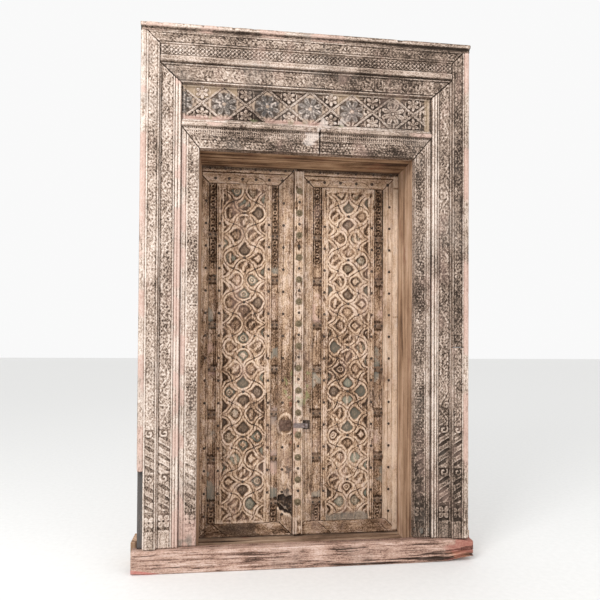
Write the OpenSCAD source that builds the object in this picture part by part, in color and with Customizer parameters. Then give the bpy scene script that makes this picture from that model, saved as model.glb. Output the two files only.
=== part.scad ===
// Carved double-leaf temple door in its layered timber frame.
// Origin: middle of the frame's foot, on the ground, at the front plane of the outer architrave.
// +X to the right, +Y into the building, +Z up. Millimetres.

/* [Opening] */
// Clear width between the jambs
opening_w = 994; // [890:1:1200]
// Clear height from the sill's top to the head
opening_h = 1765; // [1400:1:2100]

/* [Frame widths] */
// Width of the innermost carved band on the jambs
inner_band_w = 78; // [60:1:100]
// Height of the innermost carved band over the opening
inner_head_h = 95; // [70:1:120]
// Height of the plain ledge under the frieze
ledge_h = 20; // [12:1:30]
// Height of the frieze panel
frieze_h = 167; // [120:1:220]
// Width of the middle carved band on the jambs, without its fillet
middle_band_w = 66; // [50:1:90]
// Width of the plain fillet inside the middle band
fillet_w = 27; // [15:1:35]
// Height of the middle carved band over the frieze
middle_head_h = 84; // [60:1:110]
// Height of the lintel band over the middle band
lintel_h = 75; // [60:1:100]
// Width of the outer carved band
outer_band_w = 54; // [40:1:75]
// Width of the plain moulding at the frame's outer edge
edge_w = 26; // [16:1:34]
// Height of the cornice on top
cornice_h = 30; // [20:1:45]

/* [Frame depths] */
// How far the middle band sits behind the outer one
middle_step = 18; // [8:1:26]
// How far the inner band sits behind the outer one
inner_step = 35; // [28:1:50]
// Back of all the carved boards
board_back = 75; // [60:1:95]
// Back face of the posts and the head beam
post_back = 290; // [220:1:340]
// How far the cornice stands out
cornice_out = 12; // [4:1:25]
// Width of each post
post_w = 203; // [150:1:240]
// Height of the head beam
head_beam_h = 125; // [90:1:180]
// Height of the beam at the top of the posts
top_beam_h = 140; // [100:1:140]

/* [Sill] */
// Height of the front sill beam
sill_h = 100; // [80:1:130]
// How far the sill stands in front of the frame
sill_out = 8; // [0:1:20]
// Back face of the sill
sill_back = 46; // [40:1:58]
// How far each end of the sill passes the frame
sill_over = 20; // [10:1:35]
// Thickness of the threshold board behind the sill
threshold_t = 40; // [34:1:60]

/* [Leaves] */
// Place of the meeting line, measured from the middle of the opening
meeting_x = -43; // [-60:1:60]
// Gap between the two leaves
meeting_gap = 5; // [4:0.5:8]
// Clearance under and above the leaves
leaf_clear = 5; // [3:0.5:8]
// How far the leaves reach above the head's underside
leaf_lap = 25; // [15:1:40]
// Gap between the frame's back and the leaves
leaf_gap = 6; // [4:0.5:12]
// Thickness of the framing boards on a leaf's face
face_t = 15; // [12:1:20]
// Thickness of the backing boards
backing_t = 20; // [16:1:30]
// Thickness of the ledges on the back
ledger_t = 25; // [18:1:35]
// Thickness of the heel post that carries the pivots
heel_t = 45; // [40:1:50]
// Width of the carved lattice panel
lattice_w = 218; // [180:1:225]
// Width of the plain strips beside the lattice
strip_w = 25; // [18:1:30]
// Distance between the rows of ties
tie_pitch = 221; // [180:1:260]
// Height of the middle row of ties above the ground
tie_mid = 866; // [700:1:1000]
// Height of the top rail that shows under the head
top_rail_h = 79; // [60:1:110]
// Height of the bottom rail
bottom_rail_h = 62; // [46:1:80]

/* [Astragal] */
// Width of the bar that covers the meeting line
bar_w = 48; // [36:1:60]
// How far the bar stands out of the leaf
bar_t = 25; // [18:1:32]
// Distance between bosses
boss_pitch = 110; // [90:1:130]
// Radius of a boss
boss_r = 17; // [12:0.5:20]
// Height of a boss
boss_h = 13; // [8:0.5:16]

/* [Pivots and hardware] */
// Radius of the iron gudgeons
gudgeon_r = 11; // [8:0.5:14]
// Radial running clearance in the sockets and in the hasp's eyes
run_clear = 0.08; // [0.05:0.01:0.1]
// Height of the hasp's middle above the ground
hasp_z = 590; // [400:1:900]
// Radius of the hasp's pintle
pintle_r = 4; // [3:0.5:6]
// Radius of a nail head
nail_r = 4.5; // [3:0.5:6]

/* [Hidden] */
$fn = 32;

WOOD = "burlywood";
PALE = "tan";
DARK = "sienna";
IRON = "dimgray";

// Places across the frame
in_x = opening_w / 2;
mid_x = in_x + inner_band_w;
fil_x = mid_x + fillet_w;
out_x = fil_x + middle_band_w;
edge_x = out_x + outer_band_w;
frame_x = edge_x + edge_w;
sill_x = frame_x + sill_over;
post_x = in_x + post_w;

// Places up the frame
open_z = sill_h + opening_h;
ledge_z = open_z + inner_head_h;
frieze_z = ledge_z + ledge_h;
midhead_z = frieze_z + frieze_h;
lintel_z = midhead_z + middle_head_h;
outhead_z = lintel_z + lintel_h;
cornice_z = outhead_z + outer_band_w;
top_z = cornice_z + cornice_h;
post_top_z = top_z - cornice_h / 2;
butt_x = 46;
right_butt_z = sill_h + opening_h * 0.5;
edge_break_z = sill_h + 340;

// The leaves
face_y = post_back + leaf_gap;
face_back = face_y + face_t;
back_y = face_back + backing_t;
axis_y = face_y + heel_t / 2;
heel_r = heel_t / 2;
heel_x = in_x + 24;
leaf_z0 = threshold_t + leaf_clear;
leaf_z1 = open_z + leaf_lap;
rail_z1 = open_z - top_rail_h;
rail_z0 = leaf_z0 + bottom_rail_h;
groove_y = face_y + 8;
stile_w = 35;
left_free_x = meeting_x - meeting_gap / 2;
right_free_x = meeting_x + meeting_gap / 2;
left_mid_x = (-in_x + left_free_x) / 2 - 16;
right_mid_x = (right_free_x + in_x) / 2 + 9;
meet_stile_left = left_free_x - 71;
meet_stile_right = right_free_x + bar_w + 48;
edge_bar_w = 24;
right_stile_x = in_x - edge_bar_w - 53;
header_z0 = leaf_z1 + 3;
header_h = 70;
header_back = axis_y + 34;
socket_floor = 14;
nail_h = 2.5;

// Rows of ties, nails and bosses, counted from the middle tie and from the bar's top
tie_low = -floor((tie_mid - rail_z0 - 60) / tie_pitch);
tie_high = floor((rail_z1 - tie_mid - 60) / tie_pitch);
nail_step = tie_pitch / 2;
stile_low = -floor((tie_mid - rail_z0 - 30) / nail_step + 0.5);
stile_high = floor((rail_z1 - tie_mid - 30) / nail_step - 0.5);
strip_low = -floor((tie_mid - rail_z0 - 120) / nail_step + 0.5);
strip_high = floor((rail_z1 - tie_mid - 120) / nail_step - 0.5);
cross_low = -floor((tie_mid - rail_z0 - 120) / tie_pitch + 0.5);
cross_high = floor((rail_z1 - tie_mid - 120) / tie_pitch - 0.5);
boss_count = floor((open_z - leaf_z0 - 218) / boss_pitch);

// A board standing in the XZ plane, between two depths
module slab(points, y0, y1) {
    translate([0, y1, 0])
        rotate([90, 0, 0])
            linear_extrude(y1 - y0)
                polygon(points);
}

// A box given by its low and high corners
module block(a, b) {
    translate(a)
        cube([b[0] - a[0], b[1] - a[1], b[2] - a[2]]);
}

// Mirrors its children for the left side
module side(s) {
    mirror([s < 0 ? 1 : 0, 0, 0])
        children();
}

// A rounded bead running up, r proud of the plane y
module bead_up(x, y, z0, z1, r) {
    translate([x, y, z0])
        cylinder(r = r, h = z1 - z0);
}

// A rounded bead running across
module bead_across(x0, x1, y, z, r) {
    translate([x0, y, z])
        rotate([0, 90, 0])
            cylinder(r = r, h = x1 - x0);
}

module sill() {
    color(WOOD)
        slab([[-sill_x + 2, 4], [-sill_x, sill_h], [sill_x - 14, sill_h], [sill_x - 3, sill_h - 12],
            [sill_x, sill_h * 0.45], [sill_x - 5, 16], [sill_x - 80, 4], [sill_x - 130, 0],
            [-sill_x + 60, 0]], -sill_out, sill_back);
}

module threshold_board() {
    color(DARK)
        difference() {
            block([-post_x, sill_back, 0], [post_x, header_back, threshold_t]);
            for (s = [-1, 1])
                translate([s * heel_x, axis_y, socket_floor])
                    cylinder(r = gudgeon_r + run_clear, h = threshold_t);
        }
}

module foot_block() {
    color(DARK)
        block([post_x, board_back, 0], [frame_x + 34, board_back + 120, sill_h + 12]);
}

module post() {
    color(DARK)
        block([in_x, board_back, threshold_t], [post_x, post_back, post_top_z]);
}

module head_beam() {
    color(DARK)
        block([-in_x, board_back, open_z], [in_x, post_back, open_z + head_beam_h]);
}

module top_beam() {
    color(DARK)
        block([-in_x, board_back, post_top_z - top_beam_h], [in_x, board_back + 110, post_top_z]);
}

module back_header() {
    color(DARK)
        difference() {
            block([-post_x, post_back, header_z0], [post_x, header_back, header_z0 + header_h]);
            for (s = [-1, 1])
                translate([s * heel_x, axis_y, header_z0 - 1])
                    cylinder(r = gudgeon_r + run_clear, h = header_h + 2);
        }
}

// Outer jamb between two heights, with the carved band in front and a rebate for the edge moulding
module outer_jamb(z0, z1) {
    difference() {
        block([out_x, 0, z0], [frame_x, board_back, z1]);
        block([edge_x, -1, z0 - 1], [frame_x + 1, 28, z1 + 1]);
    }
}

// The mitre at the top of an outer jamb
module outer_jamb_top(z0) {
    intersection() {
        outer_jamb(z0, cornice_z);
        slab([[out_x, 0], [frame_x, 0], [frame_x, cornice_z], [edge_x, cornice_z],
            [out_x, outhead_z]], -1, board_back + 1);
    }
}

module left_outer_jamb() {
    color(PALE)
        side(-1)
            outer_jamb_top(sill_h);
}

module right_outer_jamb_lower() {
    color(PALE)
        outer_jamb(sill_h, right_butt_z);
}

module right_outer_jamb_upper() {
    color(PALE)
        outer_jamb_top(right_butt_z);
}

module outer_head() {
    color(PALE)
        slab([[-out_x, outhead_z], [out_x, outhead_z], [edge_x, cornice_z], [-edge_x, cornice_z]],
            0, board_back);
}

module cornice() {
    color(PALE)
        difference() {
            union() {
                block([-frame_x, -cornice_out + 6, cornice_z], [frame_x, board_back, top_z]);
                bead_across(-frame_x, frame_x, -cornice_out + 8, top_z - 8, 8);
                block([-frame_x, -cornice_out, top_z - 8], [frame_x, 0, top_z]);
            }
            bead_across(-frame_x - 1, frame_x + 1, -cornice_out + 5, cornice_z + 7, 5);
        }
}

module edge_moulding(z0) {
    union() {
        block([edge_x, 3, z0], [frame_x, 28, cornice_z]);
        bead_up(edge_x + edge_w / 2, edge_w / 2 - 3, z0, cornice_z, edge_w / 2 - 0.5);
    }
}

module left_edge_moulding() {
    color(PALE)
        side(-1)
            edge_moulding(edge_break_z);
}

module right_edge_moulding() {
    color(PALE)
        edge_moulding(sill_h);
}

module lintel_band() {
    color(PALE)
        union() {
            block([-out_x, 8, lintel_z], [out_x, board_back, outhead_z]);
            bead_across(-out_x, out_x, 12, lintel_z + 14, 12);
        }
}

// Middle jamb: a carved band with a plain rounded fillet on its inner side
module middle_jamb() {
    intersection() {
        union() {
            block([fil_x, middle_step, sill_h], [out_x, board_back, lintel_z]);
            block([mid_x, middle_step + 8, sill_h], [fil_x, board_back, lintel_z]);
            bead_up(mid_x + 7, middle_step + 8, sill_h, lintel_z, 6);
            bead_up(mid_x + 20, middle_step + 8, sill_h, lintel_z, 6);
        }
        slab([[mid_x, 0], [out_x, 0], [out_x, lintel_z], [mid_x, midhead_z]], -1, board_back + 1);
    }
}

module middle_head() {
    color(PALE)
        slab([[-mid_x, midhead_z], [mid_x, midhead_z], [out_x, lintel_z], [-out_x, lintel_z]],
            middle_step, board_back);
}

module frieze_panel() {
    color(PALE)
        union() {
            block([-mid_x, inner_step + 3, frieze_z], [mid_x, board_back, midhead_z]);
            block([-mid_x, inner_step - 3, frieze_z], [mid_x, inner_step + 3, frieze_z + 10]);
        }
}

// One length of the plain ledge, sloped on top
module ledge(x0, x1) {
    color(PALE)
        translate([x0, 0, 0])
            rotate([90, 0, 90])
                linear_extrude(x1 - x0)
                    polygon([[middle_step + 2, ledge_z], [board_back, ledge_z],
                        [board_back, frieze_z], [middle_step + 10, frieze_z],
                        [middle_step + 2, frieze_z - 7]]);
}

// Inner jamb: plain beads outside, carved band inside
module inner_jamb() {
    intersection() {
        union() {
            block([in_x, inner_step, sill_h], [in_x + 54, board_back, ledge_z]);
            block([in_x + 54, inner_step + 6, sill_h], [mid_x, board_back, ledge_z]);
            bead_up(in_x + 62, inner_step + 6, sill_h, ledge_z, 5);
            bead_up(in_x + 72, inner_step + 6, sill_h, ledge_z, 5);
        }
        slab([[in_x, 0], [mid_x, 0], [mid_x, ledge_z], [in_x, open_z]], -1, board_back + 1);
    }
}

module left_inner_head() {
    color(PALE)
        slab([[-in_x, open_z], [butt_x, open_z], [butt_x, ledge_z], [-mid_x, ledge_z]],
            inner_step, board_back);
}

module right_inner_head() {
    color(PALE)
        slab([[butt_x, open_z], [in_x, open_z], [mid_x, ledge_z], [butt_x, ledge_z]],
            inner_step, board_back);
}

// Heel post with a round back edge, bored for the gudgeons
module heel_post() {
    color(WOOD)
        difference() {
            union() {
                translate([heel_x, axis_y, leaf_z0])
                    cylinder(r = heel_r, h = leaf_z1 - leaf_z0);
                block([in_x, face_y, leaf_z0], [heel_x, face_y + heel_t, leaf_z1]);
            }
            translate([heel_x, axis_y, leaf_z0 - 1])
                cylinder(r = gudgeon_r, h = 61);
            translate([heel_x, axis_y, leaf_z1 - 60])
                cylinder(r = gudgeon_r, h = 61);
        }
}

module gudgeons() {
    color(IRON)
        union() {
            translate([heel_x, axis_y, socket_floor + 0.2])
                cylinder(r = gudgeon_r, h = leaf_z0 + 60 - socket_floor - 0.2);
            translate([heel_x, axis_y, leaf_z1 - 60])
                cylinder(r = gudgeon_r, h = 60 + 3 + header_h - 6);
        }
}

// Vertical backing boards side by side
module leaf_boards(x0, x1) {
    count = 3;
    w = (x1 - x0) / count;
    color(DARK)
        for (i = [0 : count - 1])
            block([x0 + i * w, face_back, leaf_z0], [x0 + (i + 1) * w - 0.3, back_y, leaf_z1]);
}

// A face stile, mitred into both rails on the side given by inner
module face_stile(x0, x1, inner) {
    w = x1 - x0;
    cut_top = min(w, leaf_z1 - rail_z1 - 1);
    cut_low = min(w, rail_z0 - leaf_z0 - 1);
    color(WOOD)
        slab(inner > 0
            ? [[x0, leaf_z0], [x1 - w + cut_low, rail_z0 - cut_low], [x1, rail_z0], [x1, rail_z1],
                [x0, rail_z1 + cut_top]]
            : [[x1, leaf_z0], [x1, rail_z1 + cut_top], [x0, rail_z1], [x0, rail_z0],
                [x0 + w - cut_low, rail_z0 - cut_low]],
            face_y, face_back);
}

// Rails run between the leaf's edges; the stiles are taken out of them
module face_rail(x0, x1, z0, z1) {
    color(WOOD)
        difference() {
            block([x0, face_y, z0], [x1, face_back, z1]);
            children();
        }
}

// Recessed strips on both sides of the lattice
module groove_strips(xs) {
    color(DARK)
        for (p = xs)
            block([p[0], groove_y, rail_z0], [p[1], face_back, rail_z1]);
}

// Plain strips that frame the lattice
module border_strips(mid) {
    color(WOOD)
        for (s = [-1, 1])
            block([mid + s * (lattice_w / 2 + strip_w / 2) - strip_w / 2, face_y - 2, rail_z0],
                [mid + s * (lattice_w / 2 + strip_w / 2) + strip_w / 2, face_back, rail_z1]);
}

// Lattice panel: a board under a grid of crossing straps
module lattice(mid) {
    color(WOOD)
        block([mid - lattice_w / 2, face_y - 2, rail_z0], [mid + lattice_w / 2, face_back, rail_z1]);
}

// Ties: short blocks that bridge the recessed strips
module ties(xs) {
    color(WOOD)
        for (p = xs)
            for (k = [tie_low : tie_high])
                block([p[0] + 0.2, face_y - 1, tie_mid + k * tie_pitch - 12],
                    [p[1] - 0.2, groove_y, tie_mid + k * tie_pitch + 12]);
}

// One domed nail head standing out of the plane y
module nail(x, y, z) {
    translate([x, y, z])
        rotate([90, 0, 0])
            cylinder(r1 = nail_r, r2 = nail_r * 0.55, h = nail_h);
}

// Nails in columns up the stiles and strips, and on the lattice's crossings, clear of the lock
module nails(mid, stile_columns) {
    color(IRON)
        union() {
            for (k = [stile_low : stile_high])
                for (x = stile_columns) {
                    z = tie_mid + (k + 0.5) * nail_step;
                    if (abs(z - hasp_z) > 28 + nail_r)
                        nail(x, face_y, z);
                }
            for (k = [strip_low : strip_high])
                for (s = [-1, 1])
                    nail(mid + s * (lattice_w / 2 + strip_w / 2), face_y - 2,
                        tie_mid + (k + 0.5) * nail_step);
            for (k = [cross_low : cross_high])
                nail(mid, face_y - 2, tie_mid + (k + 0.5) * tie_pitch);
        }
}

// Ledges across the back boards
module ledgers(x0, x1) {
    color(DARK)
        for (z = [leaf_z0 + 130, leaf_z0 + 640, leaf_z0 + 1150, leaf_z1 - 170])
            block([x0, back_y, z], [x1, back_y + ledger_t, z + 70]);
}

left_grooves = [[-in_x + stile_w, left_mid_x - lattice_w / 2 - strip_w],
    [left_mid_x + lattice_w / 2 + strip_w, meet_stile_left]];
right_grooves = [[meet_stile_right, right_mid_x - lattice_w / 2 - strip_w],
    [right_mid_x + lattice_w / 2 + strip_w, right_stile_x]];

module left_outer_stile() {
    face_stile(-in_x, -in_x + stile_w, 1);
}

module left_meeting_stile() {
    face_stile(meet_stile_left, left_free_x, -1);
}

module left_rail(z0, z1) {
    face_rail(-in_x, left_free_x, z0, z1) {
        left_outer_stile();
        left_meeting_stile();
    }
}

module left_top_rail() {
    left_rail(rail_z1, leaf_z1);
}

module left_bottom_rail() {
    left_rail(leaf_z0, rail_z0);
}

module right_outer_stile() {
    face_stile(right_stile_x, in_x, -1);
}

module right_meeting_stile() {
    face_stile(right_free_x, meet_stile_right, 1);
}

module right_rail(z0, z1) {
    face_rail(right_free_x, in_x, z0, z1) {
        right_outer_stile();
        right_meeting_stile();
    }
}

module right_top_rail() {
    right_rail(rail_z1, leaf_z1);
}

module right_bottom_rail() {
    right_rail(leaf_z0, rail_z0);
}

module right_edge_bar() {
    color(WOOD)
        block([in_x - edge_bar_w - 2, face_y - 5, leaf_z0 + 4], [in_x - 2, face_y, open_z - 8]);
}

// Rounded bar fixed to the right leaf, flush with its free edge
module astragal_bar() {
    shoulder = 6;
    color(WOOD)
        union() {
            block([right_free_x, face_y - bar_t + shoulder, leaf_z0 + 6],
                [right_free_x + bar_w, face_y, open_z - 10]);
            block([right_free_x + shoulder, face_y - bar_t, leaf_z0 + 6],
                [right_free_x + bar_w - shoulder, face_y, open_z - 10]);
            for (x = [right_free_x + shoulder, right_free_x + bar_w - shoulder])
                bead_up(x, face_y - bar_t + shoulder, leaf_z0 + 6, open_z - 10, shoulder);
        }
}

// Ringed round bosses up the bar; the hasp's place is left clear
module astragal_bosses() {
    y = face_y - bar_t;
    color(IRON)
        for (k = [0 : boss_count]) {
            z = open_z - 112 - k * boss_pitch;
            if (abs(z - hasp_z) > boss_r + knuckle_h / 2 + 2)
                translate([right_free_x + bar_w / 2, y, z])
                    rotate([90, 0, 0])
                        rotate_extrude()
                            polygon([[0, 0], [boss_r, 0], [boss_r, 3], [boss_r - 3, 5],
                                [boss_r - 4, 4], [boss_r - 6, 4], [boss_r - 8, boss_h - 3],
                                [boss_r - 11, boss_h], [0, boss_h]]);
        }
}

// Iron plate on the left leaf with a short staple at the meeting edge
module lock_plate() {
    color(IRON)
        union() {
            block([left_free_x - 62, face_y - 4, hasp_z - 28], [left_free_x - 6, face_y, hasp_z + 24]);
            block([left_free_x - 16, face_y - 30, hasp_z - 6], [left_free_x - 9, face_y - 4, hasp_z + 8]);
            block([left_free_x - 30, face_y - 30, hasp_z - 6],
                [left_free_x - 23, face_y - 4, hasp_z + 8]);
            block([left_free_x - 30, face_y - 36, hasp_z - 6], [left_free_x - 9, face_y - 30, hasp_z + 8]);
        }
}

hasp_axis_x = right_free_x + bar_w + 16;
hasp_axis_y = face_y - bar_t - 6;
knuckle_r = 8;
lug_t = 6;
knuckle_h = 22;

// Two lugs on a plate, bored for the hasp's pintle
module hasp_staple() {
    color(IRON)
        difference() {
            union() {
                block([hasp_axis_x - 12, face_y - 3, hasp_z - 22],
                    [hasp_axis_x + 22, face_y, hasp_z + 22]);
                for (s = [-1, 1])
                    translate([0, 0, hasp_z + s * (knuckle_h / 2 + lug_t / 2 + 0.5) - lug_t / 2]) {
                        block([hasp_axis_x - 6, hasp_axis_y, 0], [hasp_axis_x + 8, face_y - 3, lug_t]);
                        translate([hasp_axis_x, hasp_axis_y, 0])
                            cylinder(r = knuckle_r, h = lug_t);
                    }
            }
            translate([hasp_axis_x, hasp_axis_y, hasp_z - 30])
                cylinder(r = pintle_r + run_clear, h = 60);
        }
}

// The hasp: a pintle and knuckle with a strap that lies across the bar
module hasp() {
    strap_t = 5;
    strap_y = face_y - bar_t - 0.5;
    color(IRON)
        union() {
            translate([hasp_axis_x, hasp_axis_y, hasp_z - knuckle_h / 2])
                cylinder(r = knuckle_r, h = knuckle_h);
            translate([hasp_axis_x, hasp_axis_y, hasp_z - knuckle_h / 2 - lug_t - 2])
                cylinder(r = pintle_r, h = knuckle_h + 2 * lug_t + 4);
            block([right_free_x + 1, strap_y - strap_t, hasp_z - knuckle_h / 2],
                [hasp_axis_x, strap_y, hasp_z + knuckle_h / 2]);
        }
}

sill();
threshold_board();
side(-1) foot_block();  // left_foot_block
side(1) foot_block();  // right_foot_block
side(-1) post();  // left_post
side(1) post();  // right_post
head_beam();
top_beam();
back_header();
left_outer_jamb();
right_outer_jamb_lower();
right_outer_jamb_upper();
outer_head();
cornice();
left_edge_moulding();
right_edge_moulding();
lintel_band();
color(PALE) side(-1) middle_jamb();  // left_middle_jamb
color(PALE) side(1) middle_jamb();  // right_middle_jamb
middle_head();
frieze_panel();
ledge(-mid_x, butt_x);  // left_ledge
ledge(butt_x, mid_x);  // right_ledge
color(PALE) side(-1) inner_jamb();  // left_inner_jamb
color(PALE) side(1) inner_jamb();  // right_inner_jamb
left_inner_head();
right_inner_head();
side(-1) heel_post();  // left_heel_post
leaf_boards(-in_x, left_free_x);  // left_leaf_boards
left_outer_stile();
left_meeting_stile();
left_top_rail();
left_bottom_rail();
groove_strips(left_grooves);  // left_groove_strips
border_strips(left_mid_x);  // left_border_strips
lattice(left_mid_x);  // left_lattice
ties(left_grooves);  // left_ties
nails(left_mid_x, [-in_x + 22, meet_stile_left + 24]);  // left_nails
ledgers(-in_x + 20, left_free_x - 20);  // left_ledgers
side(-1) gudgeons();  // left_gudgeons
lock_plate();
side(1) heel_post();  // right_heel_post
leaf_boards(right_free_x, in_x);  // right_leaf_boards
right_outer_stile();
right_meeting_stile();
right_top_rail();
right_bottom_rail();
groove_strips(right_grooves);  // right_groove_strips
border_strips(right_mid_x);  // right_border_strips
lattice(right_mid_x);  // right_lattice
ties(right_grooves);  // right_ties
nails(right_mid_x, [right_stile_x + 30]);  // right_nails
ledgers(right_free_x + 20, in_x - 20);  // right_ledgers
side(1) gudgeons();  // right_gudgeons
right_edge_bar();
astragal_bar();
astragal_bosses();
hasp_staple();
hasp();
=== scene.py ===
import math
import bpy
import numpy as np
from mathutils import Matrix, Vector


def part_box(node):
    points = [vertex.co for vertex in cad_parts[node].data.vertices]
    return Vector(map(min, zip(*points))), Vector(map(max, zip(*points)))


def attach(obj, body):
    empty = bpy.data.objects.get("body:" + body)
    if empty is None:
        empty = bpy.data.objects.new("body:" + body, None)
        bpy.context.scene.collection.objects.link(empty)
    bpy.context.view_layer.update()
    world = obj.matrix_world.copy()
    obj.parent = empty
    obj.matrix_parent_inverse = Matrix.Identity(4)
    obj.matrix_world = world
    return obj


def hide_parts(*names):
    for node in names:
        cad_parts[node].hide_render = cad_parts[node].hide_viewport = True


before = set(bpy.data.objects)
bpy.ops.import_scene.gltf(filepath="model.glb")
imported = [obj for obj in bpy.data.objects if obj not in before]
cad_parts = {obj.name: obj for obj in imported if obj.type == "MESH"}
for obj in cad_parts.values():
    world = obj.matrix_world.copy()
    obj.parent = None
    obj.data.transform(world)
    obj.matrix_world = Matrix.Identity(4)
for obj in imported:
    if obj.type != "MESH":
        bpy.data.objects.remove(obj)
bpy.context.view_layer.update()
FINE = 1.22  # each grid step is multiplied by this


# ---------------------------------------------------------------- places, in millimetres

def low(node, axis):
    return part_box(node)[0]["xyz".index(axis)] * 1000.0


def high(node, axis):
    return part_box(node)[1]["xyz".index(axis)] * 1000.0


IN_X = high("head_beam", "x")
MID_X = high("frieze_panel", "x")
OUT_X = high("lintel_band", "x")
EDGE_X = high("outer_head", "x")
FRAME_X = high("cornice", "x")
FIL_W = 0.29 * (OUT_X - MID_X)
SILL_Z = high("sill", "z")
OPEN_Z = low("head_beam", "z")
LEDGE_Z = low("left_ledge", "z")
FRIEZE_Z = low("frieze_panel", "z")
MIDHEAD_Z = low("middle_head", "z")
LINTEL_Z = low("lintel_band", "z")
OUTHEAD_Z = low("outer_head", "z")
CORNICE_Z = low("cornice", "z")
TOP_Z = high("cornice", "z")
BUTT_X = low("right_inner_head", "x")
BACK = high("outer_head", "y")
RAIL_Z0 = high("left_bottom_rail", "z")
RAIL_Z1 = low("left_top_rail", "z")
LEAF_Z0 = low("left_bottom_rail", "z")
LEAF_Z1 = high("left_top_rail", "z")
FACE_Y = low("left_top_rail", "y")
FACE_BACK = high("left_top_rail", "y")
GROOVE_Y = low("left_groove_strips", "y")
TIE_Z = (low("left_ties", "z") + high("left_ties", "z")) / 2
TIE_P = (high("left_ties", "z") - low("left_ties", "z") - 24) / 6
LATTICE = {s: (low(s + "_lattice", "x") + high(s + "_lattice", "x")) / 2 for s in ("left", "right")}
LAT_H = (high("left_lattice", "x") - low("left_lattice", "x")) / 2
HASP_Z = (low("hasp_staple", "z") + high("hasp_staple", "z")) / 2
MEET_X = (high("left_meeting_stile", "x") + low("right_meeting_stile", "x")) / 2
LAP = 2.3  # how far the left leaf's face reaches into the meeting gap
STRAP_X = 54  # half the spacing of the lattice's crossings
BOSS_PITCH = 110


# ---------------------------------------------------------------- small numeric helpers

def ss(a, b, x):
    """Smooth step from 0 at a to 1 at b."""
    t = np.clip((x - a) / (b - a), 0.0, 1.0)
    return t * t * (3 - 2 * t)


def bead(d, w):
    """A half-round of half width w at the distance d from its middle, 1 high."""
    return np.sqrt(np.clip(1 - (d / w) ** 2, 0, 1))


def fold(v, p):
    """Repeats v every p, from -p/2 to p/2."""
    return (v + p / 2) % p - p / 2


def noise(x, y, seed, size):
    grid = np.random.RandomState(seed).rand(64, 64)
    x, y = np.asarray(x) / size + 40.3, np.asarray(y) / size + 71.7
    i, j = np.floor(x).astype(int), np.floor(y).astype(int)
    fx, fy = x - i, y - j
    fx, fy = fx * fx * (3 - 2 * fx), fy * fy * (3 - 2 * fy)
    i0, i1, j0, j1 = i % 64, (i + 1) % 64, j % 64, (j + 1) % 64
    a = grid[i0, j0] * (1 - fx) + grid[i1, j0] * fx
    b = grid[i0, j1] * (1 - fx) + grid[i1, j1] * fx
    return a * (1 - fy) + b * fy


def fbm(x, y, seed, size, octaves=3):
    total, weight = 0.0, 0.0
    for k in range(octaves):
        total = total + noise(x, y, seed + k, size / 2 ** k) / 2 ** k
        weight += 1 / 2 ** k
    return total / weight


def flecks(lo, hi, *how):
    """Single-size noise cut to soft-edged patches, 0 to 1."""
    return ss(lo, hi, noise(*how))


def blots(lo, hi, *how):
    """Layered noise cut to soft-edged patches, 0 to 1."""
    return ss(lo, hi, fbm(*how))


def blend(a, b, m):
    """a where m is 0, b where it is 1."""
    return a * (1 - m) + m * b


def blur(h, r):
    """Box mean over 2r + 1 cells both ways; its difference from the surface finds the hollows."""
    for axis in (0, 1):
        n = h.shape[axis]
        k = min(r, n - 1)
        pad = [(0, 0), (0, 0)]
        pad[axis] = (k + 1, k)
        c = np.cumsum(np.pad(h, pad, mode="edge"), axis=axis)
        h = ((np.take(c, np.arange(2 * k + 1, n + 2 * k + 1), axis) - np.take(c, np.arange(0, n), axis))
            / (2 * k + 1))
    return h


# ---------------------------------------------------------------- carved patterns, heights from 0 to 1

def spiral(du, dv, size, turns, hand, phase):
    r = np.hypot(du, dv)
    th = np.arctan2(dv, du) * hand + phase
    arm = 0.5 + 0.5 * np.cos(2 * np.pi * turns * (r / size) ** 0.75 - th)
    inside = 1 - ss(size * 0.88, size * 1.02, r)
    return ss(0.25, 0.7, arm) * inside, inside, r, th


def vine(U, V, w, pitch, seed, diamonds=False):
    """Waving stem with a volute in each bend and leaf fans round it."""
    U = U + (fbm(U, V, seed, 26) - 0.5) * 5
    V = V + (fbm(U, V, seed + 9, 40) - 0.5) * 9
    c, a = w / 2, w * 0.25
    h = np.zeros_like(U)
    for s in ((1, -1) if diamonds else (1,)):
        stem = U - c - s * a * np.sin(2 * np.pi * V / pitch)
        slope = a * 2 * np.pi / pitch * np.cos(2 * np.pi * V / pitch)
        d = np.abs(stem) / np.sqrt(1 + slope ** 2)
        h = np.maximum(h, bead(d, w * 0.07))
    for half in (0, 1):
        side = 1 if half == 0 else -1
        dv = fold(V - pitch * (0.25 + 0.5 * half), pitch)
        if diamonds:
            du, size = U - c, w * 0.3
            dv = fold(V - pitch * 0.25, pitch / 2)
        else:
            du, size = U - c + side * w * 0.15, w * 0.3
        arm, inside, r, th = spiral(du, dv, size, 1.35, side, 1.7 * half)
        fan = (0.5 + 0.5 * np.cos(9 * th + 0.12 * r)) * (1 - ss(size * 1.45, size * 1.7, r)) * (1 - inside)
        h = np.maximum(h * (1 - 0.6 * inside), np.maximum(arm * 0.95, ss(0.3, 0.75, fan) * 0.72))
    leaf = (0.5 + 0.5 * np.sin(U * 0.55 + 3 * noise(U, V, seed + 4, 17))
        * np.sin(V * 0.42 + 3 * noise(V, U, seed + 5, 21)))
    ragged = ss(0.3, 0.7, 0.6 * noise(U, V, seed + 6, 9) + 0.4 * noise(V, U, seed + 7, 5))
    return np.clip(0.56 * np.maximum(h, 0.62 * ss(0.25, 0.75, leaf)) + 0.42 * ragged + 0.06, 0, 1)


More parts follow.
